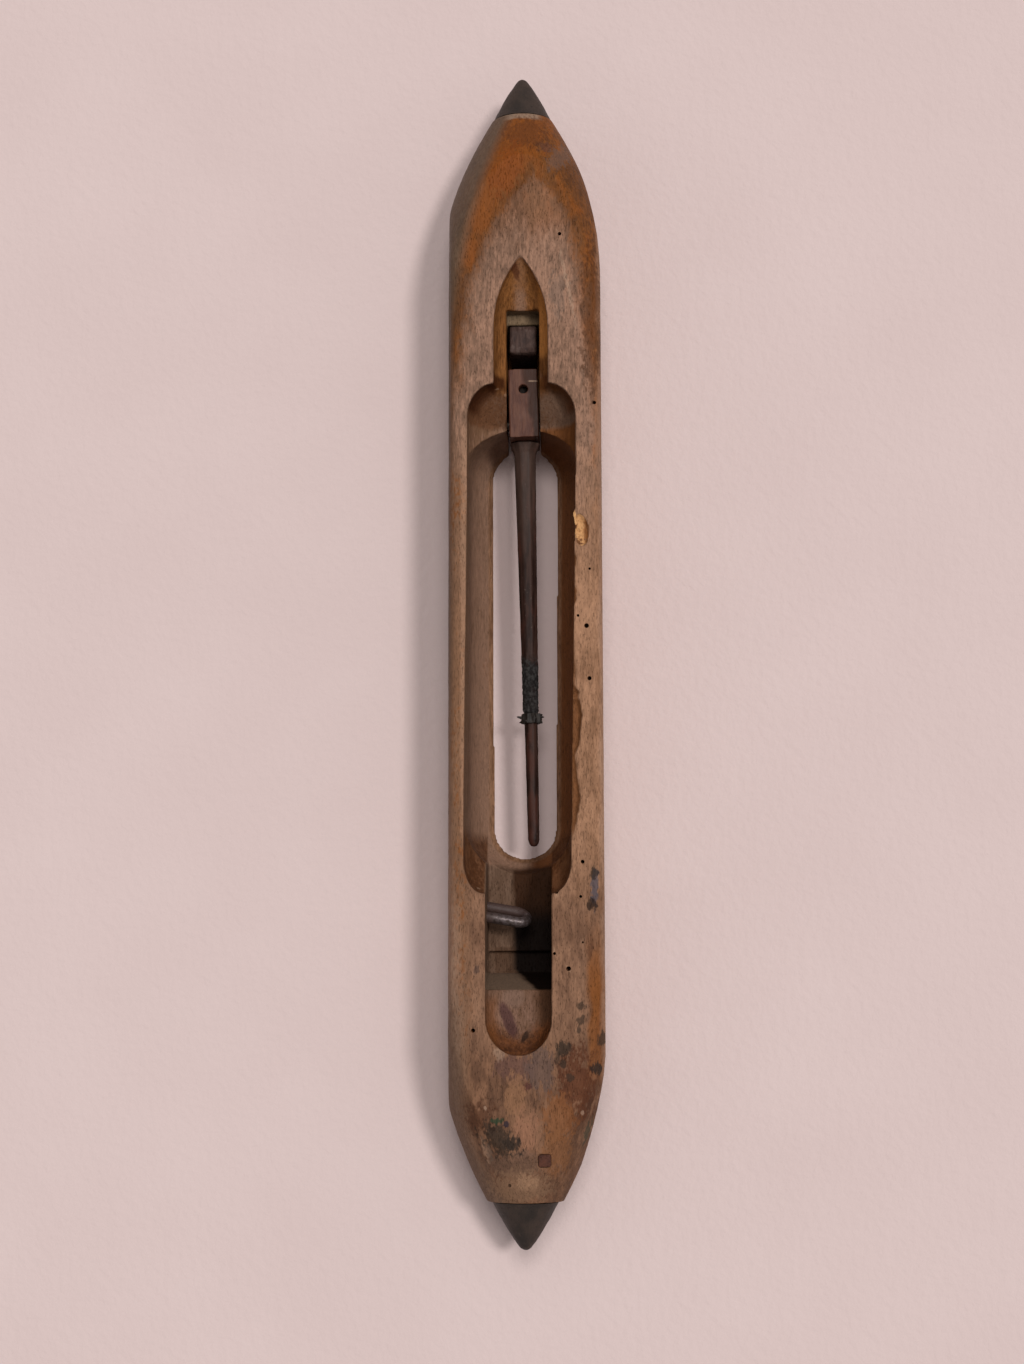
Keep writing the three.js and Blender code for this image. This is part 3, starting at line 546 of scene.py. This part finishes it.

# The two scooped shoulders at the upper end of the slot. Their corners beside the spindle are almost black
# with painted shade, and a dark spot high on the left shoulder is painted shade too.
shoulder = (streaks * 1.5 + ragged + y * 0.03).between(-0.4, 0.4).over(tone(102, 68, 46), tone(106, 80, 64))
hollow = (x + ragged * 5).between(-84, -80).over(hollow, shoulder)
from_middle = abs(y - 0.3)
corner = ((x + 74.5) * (x + 74.5) + (from_middle - 6.6) * (from_middle - 6.6)).root() + ragged * 3
corner = corner.between(6.4, 9.6) * x.between(-88, -86) * x.between(-73.5, -76.5)
corner = corner * (from_middle - 6.0).between(-1.5, 1.0)
# Painted shade on the steep wall at the top of the left shoulder.
shoulder_shade_spot = where.blotch((-83.6, -10.6), (2.4, 1.5), ragged * 2, 0.3, 0.5)
hollow = (shoulder_shade_spot * 0.75).over(hollow, tone(56, 29, 15))
shoulder_rub = where.blotch((-79.0, 10.6), (6.5, 0.9), ragged * 3, 0.5, 0.55)
hollow = (shoulder_rub * 0.5).over(hollow, tone(126, 98, 80))
# Painted shade in the corners beside the spindle, almost black.
hollow = (corner * 0.85).over(hollow, y.between(-1, 1).over(tone(58, 26, 8), tone(84, 46, 22)))

# The walls of the slot, browner on the right, where the orange-brown is painted warm shade, and the pockets at
# its lower end.
walls = (streaks * 1.2 + clouds + ragged + 0.03 * (20 - z)).between(-0.4, 0.5).over(wall_brown, wall_mauve)
# Painted shade: the right wall, which faces away from the light, is painted orange-brown.
walls = (y.between(0, 4) * 0.85).over(walls, tone(110, 64, 28))
walls = ((specks + ragged).between(0.14, 0.3) * 0.4).over(walls, tone(96, 58, 36))
hollow = (x + ragged * 3).between(-72.5, -70.5).over(hollow, walls)
wall_top = (z + ragged * 4 + abs(x + 10) * 0.01).between(32, 37) * x.between(-72, -66)
hollow = (wall_top * 0.4).over(hollow, wall_brown)
pocket = x.between(58, 64) * abs(y + 1.9).between(10.2, 10.9) * x.between(90, 88)
pocket_colour = (streaks + ragged).between(-0.2, 0.2).over(tone(74, 42, 22), tone(96, 62, 40))
hollow = (pocket * 0.9).over(hollow, pocket_colour)

# The thread chamber, grey-brown on the left, with painted shade from its right wall on the right, brown and
# then almost black, painted shade in its cross groove and painted light on its slope.
chamber = (streaks + ragged).between(-0.3, 0.3).over(tone(96, 72, 56), tone(110, 86, 70))
shady = (y + ragged * 3 + 4.1 - 1.05 * (x - 104).most(0)).between(-1.0, 1.4)
# Painted shade of the right wall, brown towards the slot and almost black further along the chamber.
chamber = shady.over(chamber, (x + z * 0.3).between(84, 92).over(tone(56, 33, 18), tone(20, 10, 5)))
# Painted shade in the cross groove, outside the painted shade of the right wall.
groove = x.between(96.5, 97.5) * x.between(105.4, 105.0) * (1 - shady) * y.between(-10.4, -9.7)
chamber = (groove * 0.6).over(chamber, tone(74, 50, 34))
# Painted light on the slope, where the light reaches it.
chamber = (x.between(105.2, 105.8) * (1 - shady) * 0.9).over(chamber, tone(122, 101, 84))
chamber_mask = (x + abs(y + 1.9) * 0.1 + clouds * 4).between(70, 73) * abs(y + 1.9).between(10.9, 10.2)
hollow = chamber_mask.over(hollow, chamber)

# The spoon-shaped run-out, with an orange-brown rim, a purple streak and a dark nick.
spoon = (streaks + ragged).between(-0.25, 0.25).over(tone(106, 78, 60), tone(126, 96, 80))
# Painted shade: the right half of the spoon is darker, where its right wall keeps the light off.
spoon = (y + specks * 4).between(0.5, 6.0).over(spoon, tone(84, 57, 40))
spoon = (where.blotch((113.2, -3.6), (3.2, 3.4), ragged, 0.3, 0) * 0.6).over(spoon, tone(124, 98, 84))
hollow = x.between(110.6, 111.2).over(hollow, spoon)
spoon_rim = (x + ragged * 5 + abs(y + 1.7) * 0.45).between(122.5, 129.0)
rim_colour = (specks + ragged).between(-0.2, 0.2).over(tone(68, 34, 12), tone(102, 58, 28))
hollow = (spoon_rim * 0.85).over(hollow, rim_colour)
spoon_side = (y + 8.6 + ragged * 3).between(1.4, -1.4) * x.between(111, 116)
hollow = (spoon_side * 0.6).over(hollow, tone(112, 68, 36))
hollow = (where.blotch((120.2, -5.2), (5.6, 2.1), ragged, 0.25, 0.38) * 0.85).over(hollow, tone(74, 48, 46))
hollow = (where.blotch((125.6, 0.2), (1.7, 0.9), specks, 0.3, -0.4) * 0.85).over(hollow, grime)

# The olive-grey step behind the block in the mortise, darker on its right side as painted shade from the
# mortise wall.
mortise_step = x.between(-112.2, -111.6) * x.between(-105.9, -106.3) * z.between(27.8, 27.3)
olive = (y + specks * 3).between(0, 5).over(tone(118, 98, 76), tone(96, 78, 58))
hollow = (mortise_step * abs(y - 0.1).between(6.8, 6.4)).over(hollow, olive)
colour = inside.over(colour, hollow)

# The torn chip shows fresh wood, and the broken right rim of the slot older and browner wood.
torn = where.blotch((-35.4, 18.7), (5.2, 2.4), (ragged + specks) * 1.6, 0.08) * z.between(38.6, 38.4)
torn = torn * z.between(37.95, 37.6).most(specks.between(0.1, 0.2)) * z.between(34.6, 35.4)
torn = torn.most(where.blotch((-39.2, 16.7), (3.4, 0.7), 0, 0.1, 0.24) * z.between(36.8, 37.1))
torn_colour = (y + specks * 3).between(19.0, 20.2).over(fresh_wood, fresh_brown)
torn_colour = ((specks + ragged * 0.6).between(0.04, 0.2) * 0.75).over(torn_colour, fresh_brown)
colour = torn.over(colour, torn_colour)
broken_rim = z.between(37.75, 37.45) * z.between(34.6, 35.4) * y.between(15.2, 15.8) * y.between(20.8, 20.3)
broken_rim = broken_rim * x.between(-30, -28) * x.between(68, 64)
colour = (broken_rim * (0.6 + ragged)).over(colour, tone(116, 74, 44))

# The flat back, on which the shuttle runs, is plain rubbed wood.
running_face = (streaks + clouds + ragged * 0.6).between(-0.3, 0.3)
running_face = running_face.over(tone(112, 80, 58), tone(144, 108, 82))
running_face = (specks.between(0.1, 0.3) * 0.4).over(running_face, deep_brown)
colour = z.between(1.9, 0.9).over(colour, running_face)

# Grain runs over all of it, with the crevices darker and the edges rubbed pale.
shade = 1 + 0.5 * streaks + 0.45 * fibres + 0.3 * specks + 0.25 * ragged - 0.24 * pores + 0.16 * flecks
# Darker where the surface folds inward.
crevice_darkening = pointiness.between(0.485, 0.42) * 0.55
smooth_crown = (x + 150).between(4, -2) * abs(y).between(5, 3)
worn_edge = pointiness.between(0.53, 0.62) * 0.35 * (1 - torn.most(smooth_crown))
colour = crevice_darkening.over(colour, grime)
colour = worn_edge.over(colour, tone(172, 138, 112))
shade = shade.node("CombineColor", {}, {0: shade, 1: shade, 2: shade})
colour = shade.node("Mix", {"data_type": "RGBA", "blend_type": "MULTIPLY"}, {0: 1.0, 6: colour, 7: shade}, 2)
set_surface(
    wood_surface,
    {
        "Base Color": colour,
        "Roughness": 0.66 - 0.18 * varnished + 0.2 * streaks + 0.1 * crevice_darkening,
        "Specular IOR Level": 0.08,
        "Normal": relief(fibres * 0.6 + streaks * 0.8 + specks * 0.4 - pores * 0.5, 0.2),
    },
)
finished(block, wood, "body", "body_wood", "shuttle_body")

# Steel tips
# Two bellied steel cones, each with a tang driven into the end of the block. They are brown and dull from
# handling, with fine scratches round them and small dents near the point.


def old_steel(name, light, dark, metallic=0.75, roughness=0.5, speck=1.0, scratch=0.5, along=1.0):
    """Steel with a brown skin, lighter where it is rubbed, and fine pits."""
    material, surface, where = paint(name)
    cloud = where.noise(5 * speck, along, 4)
    pits = where.noise(0.5 * speck, 1, 2).between(0.60, 0.72)
    lines = where.noise(0.22 * speck, along, 2)
    edge = where.node("NewGeometry", {}, {}, "Pointiness").between(0.52, 0.62)
    colour = (cloud + (lines - 0.5) * scratch).between(0.32, 0.68).over(dark, light)
    rubbed = tuple(min(1.0, share * 1.8) for share in light[:3]) + (1.0,)
    pitted = tuple(share * 0.35 for share in dark[:3]) + (1.0,)
    colour = (edge * 0.35).over(colour, rubbed)
    colour = (pits * 0.5).over(colour, pitted)
    set_surface(
        surface,
        {
            "Base Color": colour,
            "Metallic": metallic,
            "Specular IOR Level": 0.3,
            "Roughness": roughness + (cloud - 0.5) * 0.3 + pits * 0.15,
            "Normal": relief(lines * 0.5 + cloud * 0.8 - pits * 0.6, 0.12),
        },
    )
    return material


tip_steel = old_steel("tip_steel", tone(55, 43, 36), tone(34, 26, 21), 0.1, 0.55, 1.2)
for node, name in (("tongue_end_tip", "upper_tip"), ("eye_end_tip", "lower_tip")):
    tip = merged_copy(node, name)
    modify(tip, "SUBSURF", subdivision_type="SIMPLE", levels=2, render_levels=2)
    dented(tip, 4, 0.28)
    dented(tip, 1.2, 0.08)
    bpy.ops.object.shade_smooth_by_angle(angle=math.radians(40))
    finished(tip, tip_steel, "body", "tip_steel", node)

# Spring, its block and its screw
# A blued leaf spring lies on the floor of the mortise and pushes up under the heel. A hardwood block, stained
# by the iron and rubbed round, holds its end down, with a screw from the back through both.


def dressed(node, material):
    """The node's own solid shows, in this material."""
    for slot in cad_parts[node].material_slots:
        slot.material = material


blued = old_steel("blued_spring", tone(78, 76, 82), tone(44, 44, 52), 0.85, 0.35, 1.0, 0.6, 6)
dressed("heel_spring", blued)
screw_steel = old_steel("screw_steel", tone(96, 86, 78), tone(56, 48, 42), 0.8, 0.42)
dressed("spring_screw", screw_steel)

spring_block = merged_copy("spring_block", "mortise_block")
modify(spring_block, "REMESH", mode="VOXEL", voxel_size=0.28 * mm, use_smooth_shade=True)
modify(spring_block, "SMOOTH", iterations=8, factor=0.5)
dented(spring_block, 3, 0.3)
stained, stained_surface, where = paint("iron_stained_wood")
streaks = where.noise(0.8, 6, 4)
marks = where.noise(2.2, 1.5, 3)
colour = streaks.between(0.35, 0.65).over(tone(58, 42, 37), tone(76, 58, 52))
colour = (marks.between(0.54, 0.68) * 0.5).over(colour, tone(104, 88, 82))
colour = (marks.between(0.46, 0.34) * 0.5).over(colour, tone(42, 31, 29))
set_surface(
    stained_surface,
    {
        "Base Color": colour,
        "Roughness": 0.6,
        "Specular IOR Level": 0.15,
        "Normal": relief(streaks + marks, 0.2),
    },
)
finished(spring_block, stained, "body", "block_wood", "spring_block")

# Hinge pin
# A plain round steel pin driven across the block, on which the heel of the spindle turns. Its ends lie sunk
# in the side walls.

dressed("pivot_pin", screw_steel)

# Heel of the spindle
# A forged steel block with a rounded lower edge. Its open face is rubbed brown, with file marks and a bright
# nick beside the sunk hole of its rivet.

nick_place, nick_size, nick_lean = (-86.6, 3.6, 27.6), (0.35, 2.6, 0.35), (0.6, 0, 0.1)

heel = merged_copy("spindle_heel", "spindle_heel_block")
bpy.ops.mesh.primitive_cube_add(size=mm, location=[share * mm for share in nick_place], rotation=nick_lean)
nick = bpy.context.object
bpy.ops.object.mode_set(mode="EDIT")
bpy.ops.transform.resize(value=nick_size, center_override=nick.location)
bpy.ops.object.mode_set(mode="OBJECT")
cut_away(heel, nick)
modify(heel, "REMESH", mode="VOXEL", voxel_size=0.22 * mm, use_smooth_shade=True)
modify(heel, "SMOOTH", iterations=4, factor=0.5)
dented(heel, 3, 0.12)
heel_iron, heel_surface, where = paint("heel_iron")
x, y = where.parts()[:2]
rub = where.noise(0.9, 5, 4)
sweep = where.noise(6, 1, 2)
# Painted shadow: the slant mask darkens the heel's right part along a diagonal, where the recess wall shades
# it.
slant = (y - 0.7 - 0.17 * (x + 86) + (sweep - 0.5) * 4).between(-0.9, 0.9)
colour = rub.between(0.35, 0.65).over(tone(76, 44, 34), tone(96, 63, 50))
colour = (slant * 0.85).over(colour, tone(46, 22, 10))
colour = (sweep.between(0.5, 0.7) * 0.3 * (1 - slant)).over(colour, tone(112, 82, 70))
# Painted shadow of the mortise's right wall along the heel's right edge.
colour = (y.between(3.0, 4.4) * x.between(-85, -80) * 0.6).over(colour, tone(36, 17, 8))
bright = where.blotch((-86.6, 3.2), (0.24, 1.7), (rub - 0.5) * 2.2, 0.5)
colour = (bright * 0.45).over(colour, tone(186, 156, 132))
edge = where.node("NewGeometry", {}, {}, "Pointiness")
colour = (edge.between(0.54, 0.64) * 0.25 * (1 - slant)).over(colour, tone(128, 98, 82))
colour = (edge.between(0.46, 0.40) * 0.7).over(colour, tone(34, 24, 20))
set_surface(
    heel_surface,
    {
        "Base Color": colour,
        "Specular IOR Level": 0.15,
        "Roughness": 0.4 + 0.2 * rub,
        "Normal": relief(rub + sweep, 0.14),
    },
)
finished(heel, heel_iron, "spindle", "spindle_iron", "spindle_heel")

# The rivet is coloured almost black as painted shade, for the dark sunk hole it sits in.
rivet_steel = old_steel("rivet_steel", tone(24, 16, 12), tone(12, 8, 6), 0.0, 0.9)
dressed("heel_rivet", rivet_steel)

# Spindle
# A forged bar, flared where it leaves the heel and eight-sided to its rough part, where a blackened, pitted
# skin keeps the cop from sliding. Past the grip ring it is round and thin, with a blunt end.

spindle_axis = Vector((-0.075, 0.0003, 0.0140))
spindle_skew = math.radians(1.1)
spindle_rise = 0.0045
rod_rings = [
    (7.35, 9.9, 8.6), (8.0, 9.5, 8.4), (10.9, 7.1, 7.1), (14, 6.95, 6.9), (30, 6.5, 6.4), (50, 6.0, 5.9),
    (66, 5.6, 5.5), (80, 5.3, 5.2), (96.2, 4.9, 4.8), (97.0, 4.25, 4.2), (100.2, 4.2, 4.15), (112, 4.05, 4.0),
    (124, 3.9, 3.85), (134, 3.75, 3.7), (138.0, 3.6, 3.55), (139.3, 2.9, 2.8), (140.1, 1.5, 1.4),
]
rough_start, rough_end = 80, 97
rough_lead, rough_fade, rough_stop = 0.004, 0.006, 0.0008


def on_spindle(along, across=0.0, up=0.0):
    """A place in metres, from millimetres along, across and above the rod's middle line."""
    turned = (
        along * math.cos(spindle_skew) - across * math.sin(spindle_skew),
        along * math.sin(spindle_skew) + across * math.cos(spindle_skew),
        up,
    )
    return spindle_axis + Vector((0, 0, spindle_rise)) + Vector(turned) * mm


reached, width, height = rod_rings[0]
bpy.ops.mesh.primitive_circle_add(
    vertices=8, radius=0.5 * mm / math.cos(math.pi / 8), fill_type="NGON", location=on_spindle(reached),
    rotation=(math.radians(90), 0, math.radians(90)),
)
rod = bpy.context.object
rod.name = "spindle_rod_forged"
bpy.ops.object.transform_apply(location=False, rotation=True, scale=False)
bpy.ops.object.mode_set(mode="EDIT")
bpy.ops.transform.rotate(value=math.radians(22.5), orient_axis="X", center_override=on_spindle(reached))
bpy.ops.transform.resize(value=(1, width, height), center_override=on_spindle(reached))
for along, next_width, next_height in rod_rings[1:]:
    step = on_spindle(along) - on_spindle(reached)
    bpy.ops.mesh.extrude_region_move(TRANSFORM_OT_translate={"value": step})
    taper = (1, next_width / width, next_height / height)
    bpy.ops.transform.resize(value=taper, center_override=on_spindle(along))
    reached, width, height = along, next_width, next_height
bpy.ops.mesh.select_all(action="SELECT")
bpy.ops.mesh.normals_make_consistent(inside=False)
bpy.ops.object.mode_set(mode="OBJECT")
bpy.ops.object.transform_apply(location=True, rotation=True, scale=True)
modify(rod, "BEVEL", width=0.4 * mm, segments=2, limit_method="ANGLE", angle_limit=math.radians(30))
modify(rod, "REMESH", mode="VOXEL", voxel_size=0.2 * mm, use_smooth_shade=True)
modify(rod, "SMOOTH", iterations=5, factor=0.5)
rough_part = rod.vertex_groups.new(name="rough_part")
low, high = on_spindle(rough_start).x, on_spindle(rough_end).x
for vertex in rod.data.vertices:
    rising = min(max((vertex.co.x - low + rough_lead) / rough_fade, 0), 1)
    share = rising * min(max((high - vertex.co.x) / rough_stop, 0), 1)
    if share > 0:
        rough_part.add([vertex.index], share, "REPLACE")
dented(rod, 1.1, 0.75, "rough_part")
dented(rod, 3.5, 0.16)
rod_iron, rod_surface, where = paint("rod_iron")
x = where.parts()[0]
skin = where.noise(1.4, 7, 4)
rust = where.noise(4, 4, 3)
crust = where.noise(0.9, 1.2, 3)
rough_mask = (x + (crust - 0.5) * 8).between(2, 7) * x.between(24.5, 22.5)
colour = skin.between(0.35, 0.65).over(tone(34, 21, 17), tone(58, 40, 34))
colour = (rust.between(0.48, 0.64) * 0.65).over(colour, tone(72, 40, 31))
colour = (crust.between(0.64, 0.76) * 0.35).over(colour, tone(104, 88, 80))
colour = (x.between(-24, -50) * (0.2 + skin * 0.4)).over(colour, tone(86, 68, 60))
crusted = crust.between(0.4, 0.66).over(tone(24, 23, 23), tone(56, 55, 54))
colour = (rough_mask * 0.9).over(colour, crusted)
set_surface(
    rod_surface,
    {
        "Base Color": colour,
        "Specular IOR Level": 0.1,
        "Roughness": 0.38 + 0.25 * skin + 0.3 * rough_mask,
        "Normal": relief(skin * 0.6 + crust * (0.4 + rough_mask), 0.16),
    },
)
finished(rod, rod_iron, "spindle", "spindle_iron", "spindle_rod")

# Grip ring
# A ring of steel hammered up into rough barbs, tight on the rod at the end of its rough part. The longest
# barbs stand out to both sides.

ring = merged_copy("grip_ring", "barbed_ring")
bpy.ops.object.mode_set(mode="EDIT")
bpy.ops.mesh.select_all(action="SELECT")
bpy.ops.mesh.subdivide(number_cuts=2)
bpy.ops.transform.vertex_random(offset=0.22 * mm, seed=5)
bpy.ops.object.mode_set(mode="OBJECT")
barbs = []
for along, turn, reach, thick, lean in [
    (98.2, 172, 4.6, 0.85, -14), (99.3, 196, 4.0, 0.7, 20), (98.0, 8, 4.3, 0.95, 10),
    (99.6, -18, 3.9, 0.9, 0), (98.8, 60, 4.0, 0.8, -10), (99.4, 118, 3.8, 0.8, 12),
    (98.4, 240, 4.2, 0.8, 0), (99.0, 300, 4.1, 0.9, -8),
]:
    angle = math.radians(turn)
    middle = on_spindle(along, reach * 0.72 * math.cos(angle), reach * 0.72 * math.sin(angle))
    outward = Vector((math.sin(math.radians(lean)), math.cos(angle), math.sin(angle)))
    bpy.ops.mesh.primitive_cone_add(
        vertices=6, radius1=thick * mm, radius2=0.2 * mm, depth=reach * 0.6 * mm, location=middle,
        rotation=outward.to_track_quat("Z", "Y").to_euler(),
    )
    barb = bpy.context.object
    bpy.ops.object.mode_set(mode="EDIT")
    bpy.ops.mesh.subdivide(number_cuts=1)
    bpy.ops.transform.vertex_random(offset=0.18 * mm, seed=turn % 7)
    bpy.ops.object.mode_set(mode="OBJECT")
    bpy.ops.object.transform_apply(location=True, rotation=True, scale=True)
    barbs.append(barb)
ring = joined([ring, *barbs])
modify(ring, "REMESH", mode="VOXEL", voxel_size=0.16 * mm, use_smooth_shade=True)
modify(ring, "SMOOTH", iterations=2, factor=0.5)
ring_iron = old_steel("ring_iron", tone(50, 43, 39), tone(26, 22, 20), 0.1, 0.55, 0.4)
finished(ring, ring_iron, "spindle", "spindle_iron", "grip_ring")

# Thread guide
# A wire staple driven into the front wall of the thread chamber. Yarn has polished the side that faces out of
# the open face, and below that it is brown, with rust where it enters the wood.

guide_middle, guide_turn = (0.0875, -0.0065, 0), math.radians(-12)

guide = merged_copy("thread_guide", "guide_staple")
bpy.ops.object.mode_set(mode="EDIT")
bpy.ops.transform.rotate(value=guide_turn, orient_axis="Z", center_override=guide_middle)
bpy.ops.object.mode_set(mode="OBJECT")
modify(guide, "SUBSURF", subdivision_type="CATMULL_CLARK", levels=1, render_levels=1)
dented(guide, 1.5, 0.16)
bpy.ops.object.shade_smooth()
wire, wire_surface, where = paint("guide_wire")
x, y, z = where.parts()
skin = where.noise(1.0, 1.0, 4)
rust = (skin * 0.8 + (y + 7) * -0.05 + z.between(18.5, 15.5)).between(0.42, 0.66)
colour = skin.between(0.3, 0.7).over(tone(62, 50, 45), tone(97, 87, 88))
rust = rust.most(z.between(19.5, 18.0) * 0.8)
colour = (rust * 0.9).over(colour, tone(62, 42, 36))
set_surface(
    wire_surface,
    {
        "Base Color": colour,
        "Metallic": 0.5 * (1 - rust),
        "Roughness": 0.34 + 0.3 * rust,
        "Normal": relief(skin, 0.15),
    },
)
finished(guide, wire, "body", "guide_wire", "thread_guide")

# Thread eye
# A glazed porcelain eyelet let into the front wall, through which the yarn leaves. Its glaze is crazed and
# grey from the yarn in the bore.

glaze, glaze_surface, where = paint("eye_glaze")
cells = where.node("TexVoronoi", {"feature": "DISTANCE_TO_EDGE"}, {"Vector": where, "Scale": 0.9})
craze = cells.between(0.05, 0.0)
dust = where.noise(2.2, 1, 3)
colour = dust.between(0.35, 0.7).over(tone(226, 218, 200), tone(204, 190, 166))
set_surface(
    glaze_surface,
    {
        "Base Color": (craze * 0.55).over(colour, tone(120, 96, 72)),
        "Roughness": 0.14 + 0.12 * dust,
        "Coat Weight": 0.6,
        "Normal": relief(craze * -1 + dust * 0.3, 0.05),
    },
)
dressed("thread_eye", glaze)

# Nail in the lower nose
# A square forged nail beside the tang of the lower tip, its head rusted red-brown and level with the wood.

nail_middle, nail_growth, nail_rise = (0.1637, 0.0063, 0), 1.12, 0.0005

nail = merged_copy("nose_nail", "square_nail")
bpy.ops.object.mode_set(mode="EDIT")
bpy.ops.transform.resize(value=(nail_growth, nail_growth, 1), center_override=nail_middle)
bpy.ops.transform.translate(value=(0, 0, nail_rise))
bpy.ops.object.mode_set(mode="OBJECT")
modify(nail, "BEVEL", width=0.3 * mm, segments=2)
modify(nail, "SUBSURF", subdivision_type="SIMPLE", levels=3, render_levels=3)
dented(nail, 1.1, 0.2)
bpy.ops.object.shade_smooth()
nail_rust = old_steel("nail_rust", tone(88, 51, 37), tone(58, 30, 21), 0.1, 0.75, 0.6)
finished(nail, nail_rust, "body", "nail_iron", "nose_nail")

# Sizes of the solids and of the finished shuttle

size = {"cad": [list(corner) for corner in cad_box], "visual": [list(corner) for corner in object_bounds()]}
